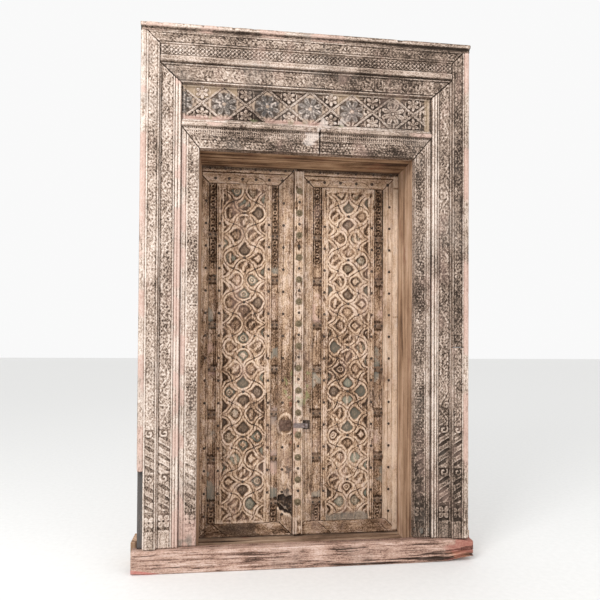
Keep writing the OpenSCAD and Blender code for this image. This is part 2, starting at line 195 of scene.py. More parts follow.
def honeycomb(U, V, cell, seed):
    """Staggered small leaves, each with a vein."""
    U = U + (noise(U, V, seed, 30) - 0.5) * 6
    V = V + (noise(V, U, seed + 1, 34) - 0.5) * 6
    row = np.floor(V / cell)
    du = fold(U - (row % 2) * cell * 0.55, cell * 1.1)
    dv = fold(V - cell / 2, cell)
    r = np.hypot(du / 0.55, dv / 0.5) / cell
    th = (np.arctan2(dv, du) + 2.2 * noise(row * 13.0, np.floor((U - (row % 2) * cell * 0.55) / cell)
        * 17.0, seed + 2, 1.0))
    lobes = 0.72 + 0.2 * np.cos(3 * th)
    leaf = 1 - ss(lobes - 0.16, lobes + 0.12, r)
    vein = bead(du * np.sin(th * 0.2) + dv * 0.5, 1.5)
    ragged = ss(0.35, 0.65, 0.6 * noise(U, V, seed + 3, 8) + 0.4 * noise(V, U, seed + 6, 4.5))
    return np.clip(0.5 * leaf * (1 - 0.35 * vein) + 0.6 * ragged, 0, 1)


def cross_cuts(U, V, pitch):
    """Rows of chip-carved crosses: ridges on both diagonals, pits between."""
    a = fold(U, pitch) / pitch * 2
    b = fold(V, pitch) / pitch * 2
    return (1 - ss(0.10, 0.42, np.abs(np.abs(a) - np.abs(b)))
        * (1 - ss(0.78, 0.98, np.maximum(np.abs(a), np.abs(b)))))


def slashes(U, V, w, pitch):
    """Gadroons: short slanting gouges, each with a raised lip."""
    s = np.clip((U / w - 0.5) * 2, -1, 1)
    t = fold(V - 0.72 * U + 4 * s, pitch)
    gouge = bead(t, 10.5 * (1 - 0.9 * s ** 2)) * (np.abs(s) < 0.86)
    lip = bead(t - 13, 4) * (np.abs(s) < 0.85)
    return np.clip(0.74 - 1.6 * gouge + 0.26 * lip, -0.8, 1)


def petals(du, dv, size, count, phase=0.0):
    r = np.hypot(du, dv) / size
    th = np.arctan2(dv, du) + phase
    wave = np.abs(np.cos(th * count / 2))
    edge = 0.34 + 0.66 * wave ** 0.75
    petal = (1 - ss(edge - 0.1, edge + 0.03, r)) * ss(0.10, 0.2, r)
    rim = bead(r - (edge - 0.07), 0.09)
    vein = bead(np.sin(th * count / 2) * r, 0.07) * ss(0.2, 0.4, r)
    return np.clip(petal * (0.55 + 0.3 * wave - 0.35 * vein) + 0.3 * rim * petal, 0, 1), petal, r


def jamb_zone(Z, a, b, soft=3):
    """1 between a and b, 0 outside."""
    return ss(a - soft, a + soft, Z) * (1 - ss(b - soft, b + soft, Z))


# ---------------------------------------------------------------- boards made from a height field

NO_TINT = (0.0, 0.0, 0.0, 0.0)


def columns(segments):
    out = []
    for a, b, step in segments:
        n = max(1, int(round((b - a) / (step * FINE))))
        out.extend(np.linspace(a, b, n + 1).tolist())
    return np.unique(np.round(out, 3))


def paint(tint, mask, colour):
    """Lays a paint over what is there."""
    mask = np.clip(mask, 0, 1)[..., None]
    rgb = np.asarray(colour)
    a0, keep = tint[..., 3:], 1 - mask
    a1 = mask + a0 * keep
    tint[..., :3] = (rgb * mask + tint[..., :3] * a0 * keep) / np.maximum(a1, 1e-6)
    tint[..., 3:] = a1


def part(axis, base, segments, lo, hi, step, field, back):
    """One board: a carved face, flat sides and a flat back. lo and hi give the cut ends for each u.

    axis is up for boards whose u runs to the right, mirrored for those whose u runs to the left,
    and across for boards that lie along X. Each end gets a sunk, dark lip, painted as dirt and shade where
    the next board starts."""
    us = columns(segments)
    los = np.array([lo(u) for u in us])
    his = np.array([hi(u) for u in us])
    nv = max(2, int(round((his - los).max() / (step * FINE))))
    t = np.linspace(0, 1, nv + 1)
    U = np.repeat(us[:, None], nv + 1, 1)
    V = los[:, None] + (his - los)[:, None] * t[None, :]
    if axis == "across":
        X, Z, flip = V, base + U, True
    elif axis == "mirrored":
        X, Z, flip = -(base + U), V, True
    else:
        X, Z, flip = base + U, V, False
    tint = np.zeros(U.shape + (4,))
    y, h, grime = field(U, V, X, Z, tint)
    # Board ends: sunk, lowered in height and darkened, as painted dirt and shade where the boards meet.
    end = np.minimum(V - los[:, None], his[:, None] - V)
    lip = bead(end, 3.2)
    y = y + 2.6 * lip
    h = np.clip(h - 0.5 * lip, 0, 1)
    grime = grime + 0.7 * lip
    # cav: how deep each point lies in a hollow. The materials darken it as painted shade.
    cav = np.clip(0.5 + 0.5 * (blur(y, 3) - y) / 2.6, 0, 1)
    nu = len(us) - 1
    index = np.arange((nu + 1) * (nv + 1)).reshape(nu + 1, nv + 1)
    rim = np.concatenate([index[:, 0], index[-1, 1:], index[::-1, -1][1:], index[0, ::-1][1:-1]])
    verts = np.stack([X.ravel(), y.ravel(), Z.ravel()], 1)
    back_verts = verts[rim].copy()
    back_verts[:, 1] = back
    relief = np.stack([h.ravel(), cav.ravel(), np.clip(grime + 0 * U, 0, 1).ravel(), np.ones(h.size)], 1)
    edge = np.tile(np.array([0.75, 0.5, 0.3, 1.0]), (len(rim), 1))
    first = len(verts)
    place = {int(v): first + k for k, v in enumerate(rim)}
    quads = np.stack([index[:-1, :-1], index[1:, :-1], index[1:, 1:], index[:-1, 1:]], -1).reshape(-1, 4)
    faces = quads.tolist()
    n_front = len(faces)
    m = len(rim)
    ring = rim.tolist()
    for k in range(m):
        a, b = ring[k], ring[(k + 1) % m]
        faces.append([a, place[a], place[b], b])
    left = [place[int(v)] for v in index[0]]
    right = [place[int(v)] for v in index[-1]]
    bottom = [place[int(v)] for v in index[:, 0]]
    top = [place[int(v)] for v in index[:, -1]]
    faces.append([left[0], left[1], right[1]] + bottom[::-1][:-1])
    for j in range(1, nv - 1):
        faces.append([left[j], left[j + 1], right[j + 1], right[j]])
    faces.append([left[nv - 1]] + top + [right[nv - 1]])
    if flip:
        faces = [f[::-1] for f in faces]
    return {"verts": np.concatenate([verts, back_verts]), "faces": faces, "front": n_front,
        "relief": np.concatenate([relief, edge]),
        "tint": np.concatenate([tint.reshape(-1, 4), np.zeros((m, 4))])}


def solid(verts, faces, h=0.8, grime=0.3, smooth=True, tint=NO_TINT):
    verts = np.asarray(verts, float)
    n = len(verts)
    return {"verts": verts, "faces": [list(f) for f in faces], "front": len(faces) if smooth else 0,
        "relief": np.tile(np.array([h, 0.5, grime, 1.0]), (n, 1)), "tint": np.tile(np.array(tint), (n, 1))}


def make(name, parts, body, nodes, mat):
    verts, faces, smooth, relief, tint, base = [], [], [], [], [], 0
    for p in parts:
        verts.append(p["verts"])
        relief.append(p["relief"])
        tint.append(p["tint"])
        faces.extend([[v + base for v in f] for f in p["faces"]])
        smooth.extend([True] * p["front"] + [False] * (len(p["faces"]) - p["front"]))
        base += len(p["verts"])
    me = bpy.data.meshes.new(name)
    me.from_pydata((np.concatenate(verts) / 1000.0).tolist(), [], faces)
    me.polygons.foreach_set("use_smooth", smooth)
    for key, values in (("relief", relief), ("tint", tint)):
        att = me.attributes.new(key, "FLOAT_COLOR", "POINT")
        att.data.foreach_set("color", np.concatenate(values).astype(np.float32).ravel())
    me.materials.append(mat)
    ob = bpy.data.objects.new(name, me)
    bpy.context.scene.collection.objects.link(ob)
    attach(ob, body)
    if nodes:
        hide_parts(*nodes)
    return ob


def frame_piece(name, node, mat, parts):
    return make(name, parts, "frame", [node], mat)


def leaf_piece(name, side, node, mat, parts):
    return make(name, parts, side + "_leaf", [node], mat)


# ---------------------------------------------------------------- materials

class Graph:
    def __init__(self, name):
        self.mat = bpy.data.materials.new(name)
        self.mat.use_nodes = True
        self.tree = self.mat.node_tree
        self.tree.nodes.clear()
        self.out = self.tree.nodes.new("ShaderNodeOutputMaterial")
        self.bsdf = self.tree.nodes.new("ShaderNodeBsdfPrincipled")
        self.tree.links.new(self.bsdf.outputs["BSDF"], self.out.inputs["Surface"])
        self.coord = self.tree.nodes.new("ShaderNodeTexCoord").outputs["Object"]

    def link(self, value, socket):
        if hasattr(value, "is_output"):
            self.tree.links.new(value, socket)
        elif value is not None:
            socket.default_value = value

    def math(self, op, a, b=None, c=None, clamp=False):
        n = self.tree.nodes.new("ShaderNodeMath")
        n.operation, n.use_clamp = op, clamp
        for k, v in enumerate((a, b, c)):
            if v is not None:
                self.link(v, n.inputs[k])
        return n.outputs[0]

    def add(self, *terms):
        total = terms[0]
        for t in terms[1:]:
            total = self.math("ADD", total, t)
        return total

    def scale(self, a, k, offset=0.0):
        return self.math("MULTIPLY_ADD", a, k, offset)

    def step(self, a, lo, hi):
        n = self.tree.nodes.new("ShaderNodeMapRange")
        n.interpolation_type = "SMOOTHSTEP"
        self.link(a, n.inputs["Value"])
        n.inputs["From Min"].default_value, n.inputs["From Max"].default_value = lo, hi
        return n.outputs["Result"]

    def noise(self, scale, detail=3.0, stretch=(1, 1, 1), shift=(0, 0, 0), rough=0.55, warp=0.0):
        m = self.tree.nodes.new("ShaderNodeMapping")
        self.link(self.coord, m.inputs["Vector"])
        m.inputs["Scale"].default_value = stretch
        m.inputs["Location"].default_value = shift
        n = self.tree.nodes.new("ShaderNodeTexNoise")
        self.link(m.outputs["Vector"], n.inputs["Vector"])
        n.inputs["Scale"].default_value = scale
        n.inputs["Detail"].default_value = detail
        n.inputs["Roughness"].default_value = rough
        n.inputs["Distortion"].default_value = warp
        return n.outputs["Fac"]

    def ramp(self, value, stops):
        n = self.tree.nodes.new("ShaderNodeValToRGB")
        self.link(value, n.inputs["Fac"])
        e = n.color_ramp.elements
        while len(e) < len(stops):
            e.new(0.5)
        for k, (pos, col) in enumerate(stops):
            e[k].position = pos
            e[k].color = tuple(col) + (1.0,)
        return n.outputs["Color"]

    def mix(self, fac, a, b, blend="MIX"):
        n = self.tree.nodes.new("ShaderNodeMix")
        n.data_type, n.blend_type = "RGBA", blend
        self.link(fac, n.inputs["Factor"])
        for v, k in ((a, 6), (b, 7)):
            self.link(v if hasattr(v, "is_output") else tuple(v) + (1.0,), n.inputs[k])
        return n.outputs[2]

    def attribute(self, name):
        n = self.tree.nodes.new("ShaderNodeAttribute")
        n.attribute_name = name
        return n

    def parts_of(self, colour):
        n = self.tree.nodes.new("ShaderNodeSeparateColor")
        self.link(colour, n.inputs[0])
        return n.outputs[0], n.outputs[1], n.outputs[2]

    def bump(self, height, distance, strength=1.0, under=None):
        n = self.tree.nodes.new("ShaderNodeBump")
        self.link(height, n.inputs["Height"])
        n.inputs["Distance"].default_value = distance
        n.inputs["Strength"].default_value = strength
        if under is not None:
            self.link(under, n.inputs["Normal"])
        return n.outputs["Normal"]


def along(grain, k):
    """Noise scales that draw a pattern out along the grain."""
    return (1, 1, k) if grain == "z" else (k, 1, 1)


PALETTES = { "frame": [(0.0, (0.032, 0.022, 0.016)), (0.22, (0.115, 0.080, 0.060)),
    (0.45, (0.32, 0.235, 0.18)), (0.70, (0.56, 0.445, 0.37)), (1.0, (0.80, 0.69, 0.61))],
    "leaf": [(0.0, (0.033, 0.018, 0.010)), (0.24, (0.14, 0.078, 0.044)), (0.48, (0.36, 0.228, 0.142)),
    (0.72, (0.56, 0.385, 0.262)), (1.0, (0.79, 0.62, 0.475))], "sill": [(0.0, (0.05, 0.030, 0.022)),
    (0.25, (0.17, 0.098, 0.074)), (0.5, (0.40, 0.25, 0.19)), (0.75, (0.56, 0.385, 0.31)),
    (1.0, (0.70, 0.54, 0.47))], }


def carved_wood(name, palette, grain="z", base=0.62, relief_power=0.3, stain=0.5, grain_power=0.2,
        specks=1.0, cavity=0.9, cracks=0.12, wash=0.0, seed=0.0):
    """Old timber: a pale worn wash, dirt and painted shade in the carving, and pepper-like specks where the
    wash has gone.
    """
    g = Graph(name)
    stretch = along(grain, 0.035)
    shift = (seed, seed * 0.37, seed * 0.71)
    fibre = g.noise(330, 3, stretch, shift, 0.6)
    streak = g.noise(70, 4, stretch, shift, 0.6, 0.4)
    blotch = g.noise(22, 5, along(grain, 0.5), shift, 0.65)
    speck = g.noise(210, 3, along(grain, 0.6), shift, 0.7)
    pepper = g.math("MULTIPLY", g.step(g.noise(330, 2, (1, 1, 1), shift, 0.6), 0.55, 0.66),
        g.step(blotch, 0.62, 0.38))
    crack = g.step(g.noise(150, 4, along(grain, 0.045), (seed, 4, 8), 0.65, 0.35), 0.56, 0.66)
    cloud = g.noise(3.4, 4, along(grain, 0.6), shift, 0.6)
    relief = g.attribute("relief")
    hgt, cav, grime = g.parts_of(relief.outputs["Color"])
    # Painted shade: the carving's height darkens its recesses and cav darkens its hollows. The relief's
    # third channel adds dirt and painted shade.
    level = g.add(g.scale(hgt, relief_power, base - relief_power * 0.6),
        g.scale(cav, cavity, -0.5 * cavity), g.scale(streak, 0.55, -0.275),
        g.scale(fibre, grain_power * 2, -grain_power), g.scale(blotch, 0.85, -0.425),
        g.scale(g.step(speck, 0.38, 0.58), 0.42 * specks, -0.27 * specks), g.scale(pepper, -0.34 * specks),
        g.scale(g.step(cloud, 0.42, 0.66), -0.26 * stain), g.scale(grime, -0.42),
        g.scale(crack, -1.2 * cracks, 0.03 * cracks))
    colour = g.ramp(level, PALETTES[palette])
    grey = g.math("MULTIPLY", g.step(g.noise(6.5, 5, (1, 1, 0.7), (seed + 3, 1, 2), 0.65), 0.5, 0.7),
        0.5 * stain)
    colour = g.mix(grey, colour, (0.21, 0.175, 0.15))
    rosy = g.math("MULTIPLY", g.step(g.noise(11, 4, (1, 1, 0.5), (seed, 5, 1), 0.6), 0.52, 0.72), 0.22)
    colour = g.mix(rosy, colour, (0.60, 0.40, 0.33))
    if wash:
        flaky = g.step(g.noise(34, 6, along(grain, 0.45), (seed, 6, 3), 0.72), 0.5, 0.56)
        held = g.math("MULTIPLY", flaky, g.step(level, 0.38, 0.6))
        colour = g.mix(g.scale(held, wash), colour, (0.71, 0.55, 0.455))
        bare = g.step(g.noise(52, 6, along(grain, 0.35), (seed, 8, 6), 0.74), 0.565, 0.61)
        colour = g.mix(g.scale(bare, 0.9 * wash), colour, (0.15, 0.085, 0.055))
    tint = g.attribute("tint")
    worn = g.add(g.scale(tint.outputs["Alpha"], 1.5, -0.62), g.scale(blotch, 0.8),
        g.scale(speck, 0.8, -0.4), g.scale(cav, 0.3, -0.15))
    amount = g.math("MULTIPLY", g.step(worn, 0.1, 0.6), g.step(tint.outputs["Alpha"], 0.02, 0.3))
    soft = g.mix(g.scale(speck, 0.7), tint.outputs["Color"], colour)
    colour = g.mix(amount, colour, soft)
    g.link(colour, g.bsdf.inputs["Base Color"])
    g.link(g.scale(level, -0.12, 0.95), g.bsdf.inputs["Roughness"])
    g.bsdf.inputs["Specular IOR Level"].default_value = 0.2
    height = g.add(g.scale(fibre, 0.6), g.scale(streak, 0.9), g.scale(speck, 0.9))
    g.link(g.bump(height, 0.0022, 0.8), g.bsdf.inputs["Normal"])
    return g.mat


def plain_timber(name, stops, grain="z", seed=0.0, streaks=1.9):
    """Uncarved timber with long grain, streaks and small dark pits."""
    g = Graph(name)
    stretch = along(grain, 0.035)
    shift = (seed, seed * 0.6, seed * 0.3)
    fibre = g.noise(260, 3, stretch, shift, 0.6)
    streak = g.noise(46, 5, stretch, shift, 0.6, 0.7)
    broad = g.noise(12, 4, along(grain, 0.2), shift, 0.6, 0.5)
    dust = g.noise(7, 5, (1, 1, 1), (seed, 2, 5), 0.6)
    pits = g.step(g.noise(240, 3, along(grain, 0.4), (seed, 7, 1), 0.65), 0.58, 0.7)
    level = g.add(g.scale(fibre, 0.45, -0.22), g.scale(streak, 1.1 * streaks, 0.5 - 0.55 * streaks),
        g.scale(broad, 1.2, -0.6), g.scale(dust, 0.8, -0.4), g.scale(pits, -0.35, 0.04))
    colour = g.ramp(level, stops)
    red = g.math("MULTIPLY", g.step(g.noise(14, 3, along(grain, 0.4), (seed, 9, 4), 0.6), 0.56, 0.74), 0.5)
    colour = g.mix(red, colour, (0.20, 0.062, 0.035))
    g.link(colour, g.bsdf.inputs["Base Color"])
    g.link(g.scale(level, -0.15, 0.9), g.bsdf.inputs["Roughness"])
    g.bsdf.inputs["Specular IOR Level"].default_value = 0.3
    g.link(g.bump(g.add(fibre, streak), 0.0022, 0.8), g.bsdf.inputs["Normal"])
    return g.mat


def metal(name, stops, patina, seed=0.0):
    """Old ironwork: dark scale, rust and a little rubbed metal."""
    g = Graph(name)
    shift = (seed, seed, seed)
    coarse = g.noise(90, 5, (1, 1, 1), shift, 0.65)
    fine = g.noise(600, 3, (1, 1, 1), shift, 0.6)
    level = g.add(g.scale(coarse, 1.3, -0.15), g.scale(fine, 0.4, -0.2))
    colour = g.ramp(level, stops)
    rust = g.step(g.noise(150, 4, (1, 1, 1), (seed, 3, 1), 0.6), 0.52, 0.66)
    colour = g.mix(g.scale(rust, 0.6), colour, patina)
    g.link(colour, g.bsdf.inputs["Base Color"])
    g.link(g.scale(rust, -0.4, 0.55), g.bsdf.inputs["Metallic"])
    g.link(g.add(g.scale(fine, 0.2, 0.42), g.scale(rust, 0.25)), g.bsdf.inputs["Roughness"])
    g.link(g.bump(g.add(coarse, g.scale(fine, 0.5)), 0.0009, 0.8), g.bsdf.inputs["Normal"])
    return g.mat


FRAME_V = carved_wood("frame_carved_up", "frame", "z", 0.69, 0.17, stain=0.6, cavity=0.7)
FRAME_H = carved_wood("frame_carved_across", "frame", "x", 0.56, 0.18, stain=0.85, cavity=0.7, seed=2.3)
LEAF_V = carved_wood("leaf_up", "leaf", "z", 0.66, 0.34, stain=0.4, specks=0.9, cracks=0.25, wash=0.55,
    seed=4.1)
LEAF_H = carved_wood("leaf_across", "leaf", "x", 0.65, 0.34, stain=0.5, specks=0.8, wash=0.5, seed=5.2)
SILL_M = carved_wood("sill_surface", "sill", "x", 0.53, 0.4, stain=0.4, grain_power=0.6, specks=0.6,
    cracks=0.6, seed=7.7)
REVEAL = plain_timber("reveal_timber", [(0.0, (0.09, 0.048, 0.027)), (0.35, (0.33, 0.20, 0.12)),
    (0.7, (0.54, 0.36, 0.24)), (1.0, (0.68, 0.51, 0.38))], "z", 1.3)
SOFFIT = plain_timber("soffit_timber", [(0.0, (0.022, 0.012, 0.007)), (0.35, (0.11, 0.058, 0.032)),
    (0.6, (0.30, 0.18, 0.10)), (1.0, (0.52, 0.35, 0.22))], "x", 3.1)
BOARD_V = carved_wood("leaf_plain_up", "leaf", "z", 0.88, 0.3, stain=0.2, specks=0.4, wash=0.3, seed=9.3)
THRESHOLD = plain_timber("threshold_timber", [(0.0, (0.04, 0.024, 0.015)), (0.4, (0.20, 0.125, 0.08)),
    (0.7, (0.42, 0.29, 0.20)), (1.0, (0.60, 0.46, 0.34))], "x", 4.7)
ROUGH_V = plain_timber("rough_timber_up", [(0.0, (0.045, 0.028, 0.018)), (0.5, (0.17, 0.105, 0.066)),
    (1.0, (0.32, 0.22, 0.15))], "z", 6.4)
ROUGH_H = plain_timber("rough_timber_across", [(0.0, (0.045, 0.028, 0.018)), (0.5, (0.17, 0.105, 0.066)),
    (1.0, (0.32, 0.22, 0.15))], "x", 8.4)
IRON = metal("old_iron", [(0.0, (0.018, 0.013, 0.010)), (0.5, (0.065, 0.048, 0.037)),
    (1.0, (0.15, 0.12, 0.10))], (0.13, 0.052, 0.022))
HASP_IRON = metal("hasp_iron", [(0.0, (0.05, 0.038, 0.035)), (0.5, (0.20, 0.155, 0.145)),
    (1.0, (0.48, 0.42, 0.41))], (0.15, 0.075, 0.05), 1.7)
PLATE = metal("rusted_plate", [(0.0, (0.03, 0.018, 0.013)), (0.5, (0.13, 0.075, 0.052)),
    (1.0, (0.36, 0.25, 0.19))], (0.20, 0.095, 0.06), 3.3)
BOSS = metal("boss_bronze", [(0.0, (0.032, 0.024, 0.015)), (0.5, (0.20, 0.152, 0.09)),
    (1.0, (0.48, 0.39, 0.26))], (0.15, 0.115, 0.065), 2.9)

BLUE = (0.066, 0.068, 0.068)
OCHRE = (0.50, 0.375, 0.26)
PINK = (0.60, 0.40, 0.335)
GREEN = (0.24, 0.25, 0.13)
TEAL = (0.27, 0.285, 0.225)
PALE = (0.72, 0.62, 0.56)
# DARK is laid as painted shade: the shadow along the top rails under the soffit, and dirt and shade in the
# lintel's pits.
DARK = (0.03, 0.022, 0.018)


# ---------------------------------------------------------------- the frame's carved bands

def worn(X, Z, seed, size=70):
    """Broad wear, from 0 for crisp to 1 for rubbed away."""
    return blots(0.5, 0.82, X, Z, seed, size)


def rough(X, Z, seed, along="z"):
    """Fine tool and weather marks, in millimetres."""
    a, b = (X * 2.2, Z * 0.25) if along == "z" else (X * 0.25, Z * 2.2)
    return (noise(a, b, seed, 9) - 0.5) * 0.9 + (noise(X, Z, seed + 1, 14) - 0.5) * 0.8


def jamb_foot(U, Z, h, w, seed):
    """Gadroon tiers, flower blocks and plain feet at the bottom of a jamb."""
    z0 = SILL_Z
    tiers = (z0 + 160, z0 + 321, z0 + 516)
    for a, b in zip(tiers, tiers[1:]):
        m = jamb_zone(Z, a + 6, b - 30)
        h = blend(h, slashes(U, Z, w, 43), m)
        arm, inside, r, th = spiral(U - w * 0.5, Z - (b - 14), w * 0.34, 1.2, 1, 0.5)
        m = jamb_zone(Z, b - 30, b + 2)
        h = blend(h, np.maximum(arm, 0.35 * (1 - inside)), m)
    for t in tiers:
        h = h * (1 - bead(Z - t, 3.5))
    m = jamb_zone(Z, z0 + 82, z0 + 156)
    flower, petal, r = petals(U - w / 2, Z - (z0 + 119), w * 0.52, 4, math.pi / 4)
    h = blend(h, np.clip(flower + 0.25 * petal, 0, 1), m)
    h = h * (1 - bead(Z - (z0 + 82), 3))
    m = 1 - ss(z0 + 76, z0 + 82, Z)
    return blend(h, 0.75 + 0.25 * noise(U, Z, seed, 22), m)


def grime_of(X, Z, seed, right=0.0):
    g = 0.55 * blots(0.35, 0.75, X, Z, seed, 260) + 0.25 * blots(0.5, 0.7, X, Z, seed + 7, 60, 2)
    low_right = (X > 0) * (1 - ss(SILL_Z + 150, SILL_Z + 620, Z)) * 0.55
    return 0.6 * g + low_right * right + 0.48 * ss(302 - EDGE_X, EDGE_X - 122, X)


def outer_band(seed, foot):
    w = EDGE_X - OUT_X

    def field(U, V, X, Z, tint):
        h = vine(U, V, w, 92, seed)
        if foot:
            h = jamb_foot(U, Z, h, w, seed)
        h = np.maximum(h, bead(U - 2.5, 3.2))
        h = np.maximum(h, bead(U - w + 3.5, 3.6))
        h = h * (1 - bead(U - 7, 1.6)) * (1 - bead(U - w + 8.5, 1.6))
        k = worn(X, Z, seed + 30)
        h = h * (1 - 0.6 * k) + 0.42 * k
        y = (1 - h) * 4.4 + rough(X, Z, seed, "z" if foot else "x") * 0.5 + 0.5
        bump = 2.6 * np.exp(-((Z - (TOP_Z - 64)) / 16) ** 2) * (X < 0) * foot
        grime = grime_of(X, Z, seed, 1.0)
        past = (U > w + 0.5) & foot
        y = np.where(past, 28.3 + rough(X, Z, seed), y - bump)
        h = np.where(past, 0.5, h)
        grime = np.where(past, 0.35, grime)
        paint(tint, past * 0.9, (0.135, 0.13, 0.128))
        return np.maximum(y, 0), h, grime
    return field


def outer_jamb(side, z0, z1, top, seed):
    w = EDGE_X - OUT_X
    full = FRAME_X - OUT_X
    hi = (lambda u: OUTHEAD_Z + min(u, w)) if top else (lambda u: z1)
    cols = [(0, w, 2.1), (w, w + 0.7, 0.7), (w + 0.7, full, 9)]
    return part("up" if side > 0 else "mirrored", OUT_X, cols, lambda u: z0, hi, 2.4, outer_band(seed, 1),
        BACK)


BUTT_Z = high("right_outer_jamb_lower", "z")
frame_piece("left_outer_band", "left_outer_jamb", FRAME_V, [outer_jamb(-1, SILL_Z, CORNICE_Z, True, 11)])
frame_piece("right_outer_band_lower", "right_outer_jamb_lower", FRAME_V,
    [outer_jamb(1, SILL_Z, BUTT_Z - 0.8, False, 12)])
frame_piece("right_outer_band_upper", "right_outer_jamb_upper", FRAME_V,
    [outer_jamb(1, BUTT_Z + 0.8, CORNICE_Z, True, 13)])
frame_piece("head_outer_band", "outer_head", FRAME_H,
    [part("across", OUTHEAD_Z, [(0, EDGE_X - OUT_X, 2.1)], lambda u: -OUT_X - u + 1.7, lambda u: OUT_X + u
    - 1.7, 2.4, outer_band(14, 0), BACK)])


def cornice_field(U, V, X, Z, tint):
    h_all = TOP_Z - CORNICE_Z
    cove = -2.0 + 4.5 * np.sin(np.clip(U / (h_all * 0.5), 0, 1) * np.pi)
    lip = low("cornice", "y") + 0.4 + 5 * (1 - bead(U - h_all + 7.5, 8.5))
    y = np.where(U < h_all * 0.5, cove, np.minimum(lip, cove + 2))
    chip = blots(0.62, 0.8, X, Z, 52, 34) * 3.5 * ss(0.3, 0.8, U / h_all)
    crack = (bead(Z - (CORNICE_Z + 13 + 5 * (noise(X, 0 * X, 55, 120) - 0.5)), 1.3)
        * flecks(0.45, 0.6, X, 0 * X, 56, 160) * 3)
    paint(tint, 0.4 * blots(0.45, 0.6, X, Z, 57, 130), PINK)
    return (y + chip + crack + rough(X, Z, 51, "x") * 0.9, 0.85 - 0.12 * chip - crack * 0.3,
        grime_of(X, Z, 50) * 0.8)


frame_piece("top_cornice", "cornice", FRAME_H,
    [part("across", CORNICE_Z, [(0, TOP_Z - CORNICE_Z, 1.9)], lambda u: -FRAME_X, lambda u: FRAME_X, 5,
    cornice_field, BACK)])


def edge_field(seed):
    w = FRAME_X - EDGE_X
    r = w / 2 - 0.4

    def field(U, V, X, Z, tint):
        y = low("right_edge_moulding", "y") + r * (1 - bead(U - w / 2, r + 0.8))
        chip = blots(0.6, 0.78, U * 2, Z, seed, 40) * 3.0
        split = (bead(U - w * 0.62 - 3 * (noise(Z, 0 * Z, seed + 2, 300) - 0.5), 0.9)
            * flecks(0.4, 0.6, Z, 0 * Z, seed + 3, 220) * 2.5)
        end = (7 * flecks(0.35, 0.7, U * 3, Z, seed + 4, 9) * (1 - ss(0, 26, Z - Z.min()))
            * (Z.min() > SILL_Z + 50))
        paint(tint, 0.55 * blots(0.4, 0.6, X, Z, seed + 5, 160), PINK)
        return (y + chip + split + end + rough(X, Z, seed) * 0.6, 0.9 - 0.12 * chip - 0.3 * split,
            0.7 * grime_of(X, Z, seed, 0.6))
    return field


for side, axis, seed in (("left", "mirrored", 61), ("right", "up", 62)):
    node = side + "_edge_moulding"
    z0 = low(node, "z")
    frame_piece(side + "_edge_bead", node, FRAME_V,
        [part(axis, EDGE_X, [(0, FRAME_X - EDGE_X, 2.0)], lambda u, z0=z0: z0 + 0.3, lambda u: CORNICE_Z
        - 0.3, 5, edge_field(seed), high(node, "y"))])


def lintel_field(U, V, X, Z, tint):
    top = OUTHEAD_Z - LINTEL_Z
    plain = top * 0.38
    jitter = (noise(X, Z, 71, 40) - 0.5) * 2
    pitch = 19.0
    cuts = cross_cuts(U - plain - 4 - pitch / 2 + jitter, X + jitter, pitch)
    carve = jamb_zone(U, plain + 4, top - 3.5, 0.8)
    h = 1 - carve * (1 - cuts)
    k = worn(X, Z, 72, 110)
    h = h * (1 - 0.15 * k) + 0.15 * k
    # The pits between the crosses are painted dark in patches, as dirt and painted shade.
    paint(tint, carve * (1 - cuts) * 0.75 * flecks(0.3, 0.5, X, Z, 75, 26), DARK)
    y_band = 8.2 + (1 - h) * 5.5
    pad = OUT_X - np.abs(X)
    nose = 9 * (1 - bead(np.clip(16 - pad, 0, 16), 16))
    y_bead = 0.4 + 11 * (1 - bead(U - plain / 2, plain / 2 + 0.6)) + nose
    y = np.where(U < plain, np.minimum(y_bead, 12.5), y_band)
    groove = bead(U - plain - 1.2, 1.8) * 3.5 + bead(U - 1, 1.6) * 3
    h = np.where(U < plain, 0.92, h) - 0.5 * bead(U - plain - 1.2, 1.8)
    grime = grime_of(X, Z, 73) * np.where(U < plain, 0.45, 1.25)
    return y + groove + rough(X, Z, 74, "x") * 0.5, h, grime


frame_piece("head_cross_band", "lintel_band", FRAME_H,
    [part("across", LINTEL_Z, [(0, OUTHEAD_Z - LINTEL_Z, 1.9)], lambda u: -OUT_X + 0.5, lambda u: OUT_X
    - 0.5, 2.4, lintel_field, BACK)])


def middle_field(seed, jamb):
    w = OUT_X - MID_X - FIL_W
    front = low("middle_head", "y")

    def field(U, V, X, Z, tint):
        u = U - FIL_W if jamb else U * w / (LINTEL_Z - MIDHEAD_Z)
        h = vine(u, V, w, 150 if jamb else 118, seed, diamonds=not jamb)
        if jamb:
            h = jamb_foot(u, Z, h, w, seed)
        h = np.maximum(h, np.maximum(bead(u - 2.5, 3.2), bead(u - w + 3, 3.2)))
        h = h * (1 - bead(u - 7, 1.6)) * (1 - bead(u - w + 7.5, 1.6))
        k = worn(X, Z, seed + 40)
        h = h * (1 - 0.6 * k) + 0.42 * k
        y = front + 0.4 + (1 - h) * 5.4
        grime = grime_of(X, Z, seed, 0.8)
        if jamb:
            fil = U < FIL_W - 0.2
            bump = np.maximum(bead(U - FIL_W * 0.26, 6), bead(U - FIL_W * 0.74, 6))
            y = np.where(fil, front + 8 - 6 * bump, y)
            h = np.where(fil, 0.55 + 0.4 * bump, h)
            y = y + 2.5 * bead(U - FIL_W + 0.3, 1.5)
            paint(tint, np.where(fil & (X < 0), 0.5 * blots(0.35, 0.6, X, Z, seed + 3, 90, 4), 0), PINK)
            grime = np.where(fil, grime * 0.6, grime)
        return y + rough(X, Z, seed + 1, "z" if jamb else "x") * 0.5, h, grime
    return field


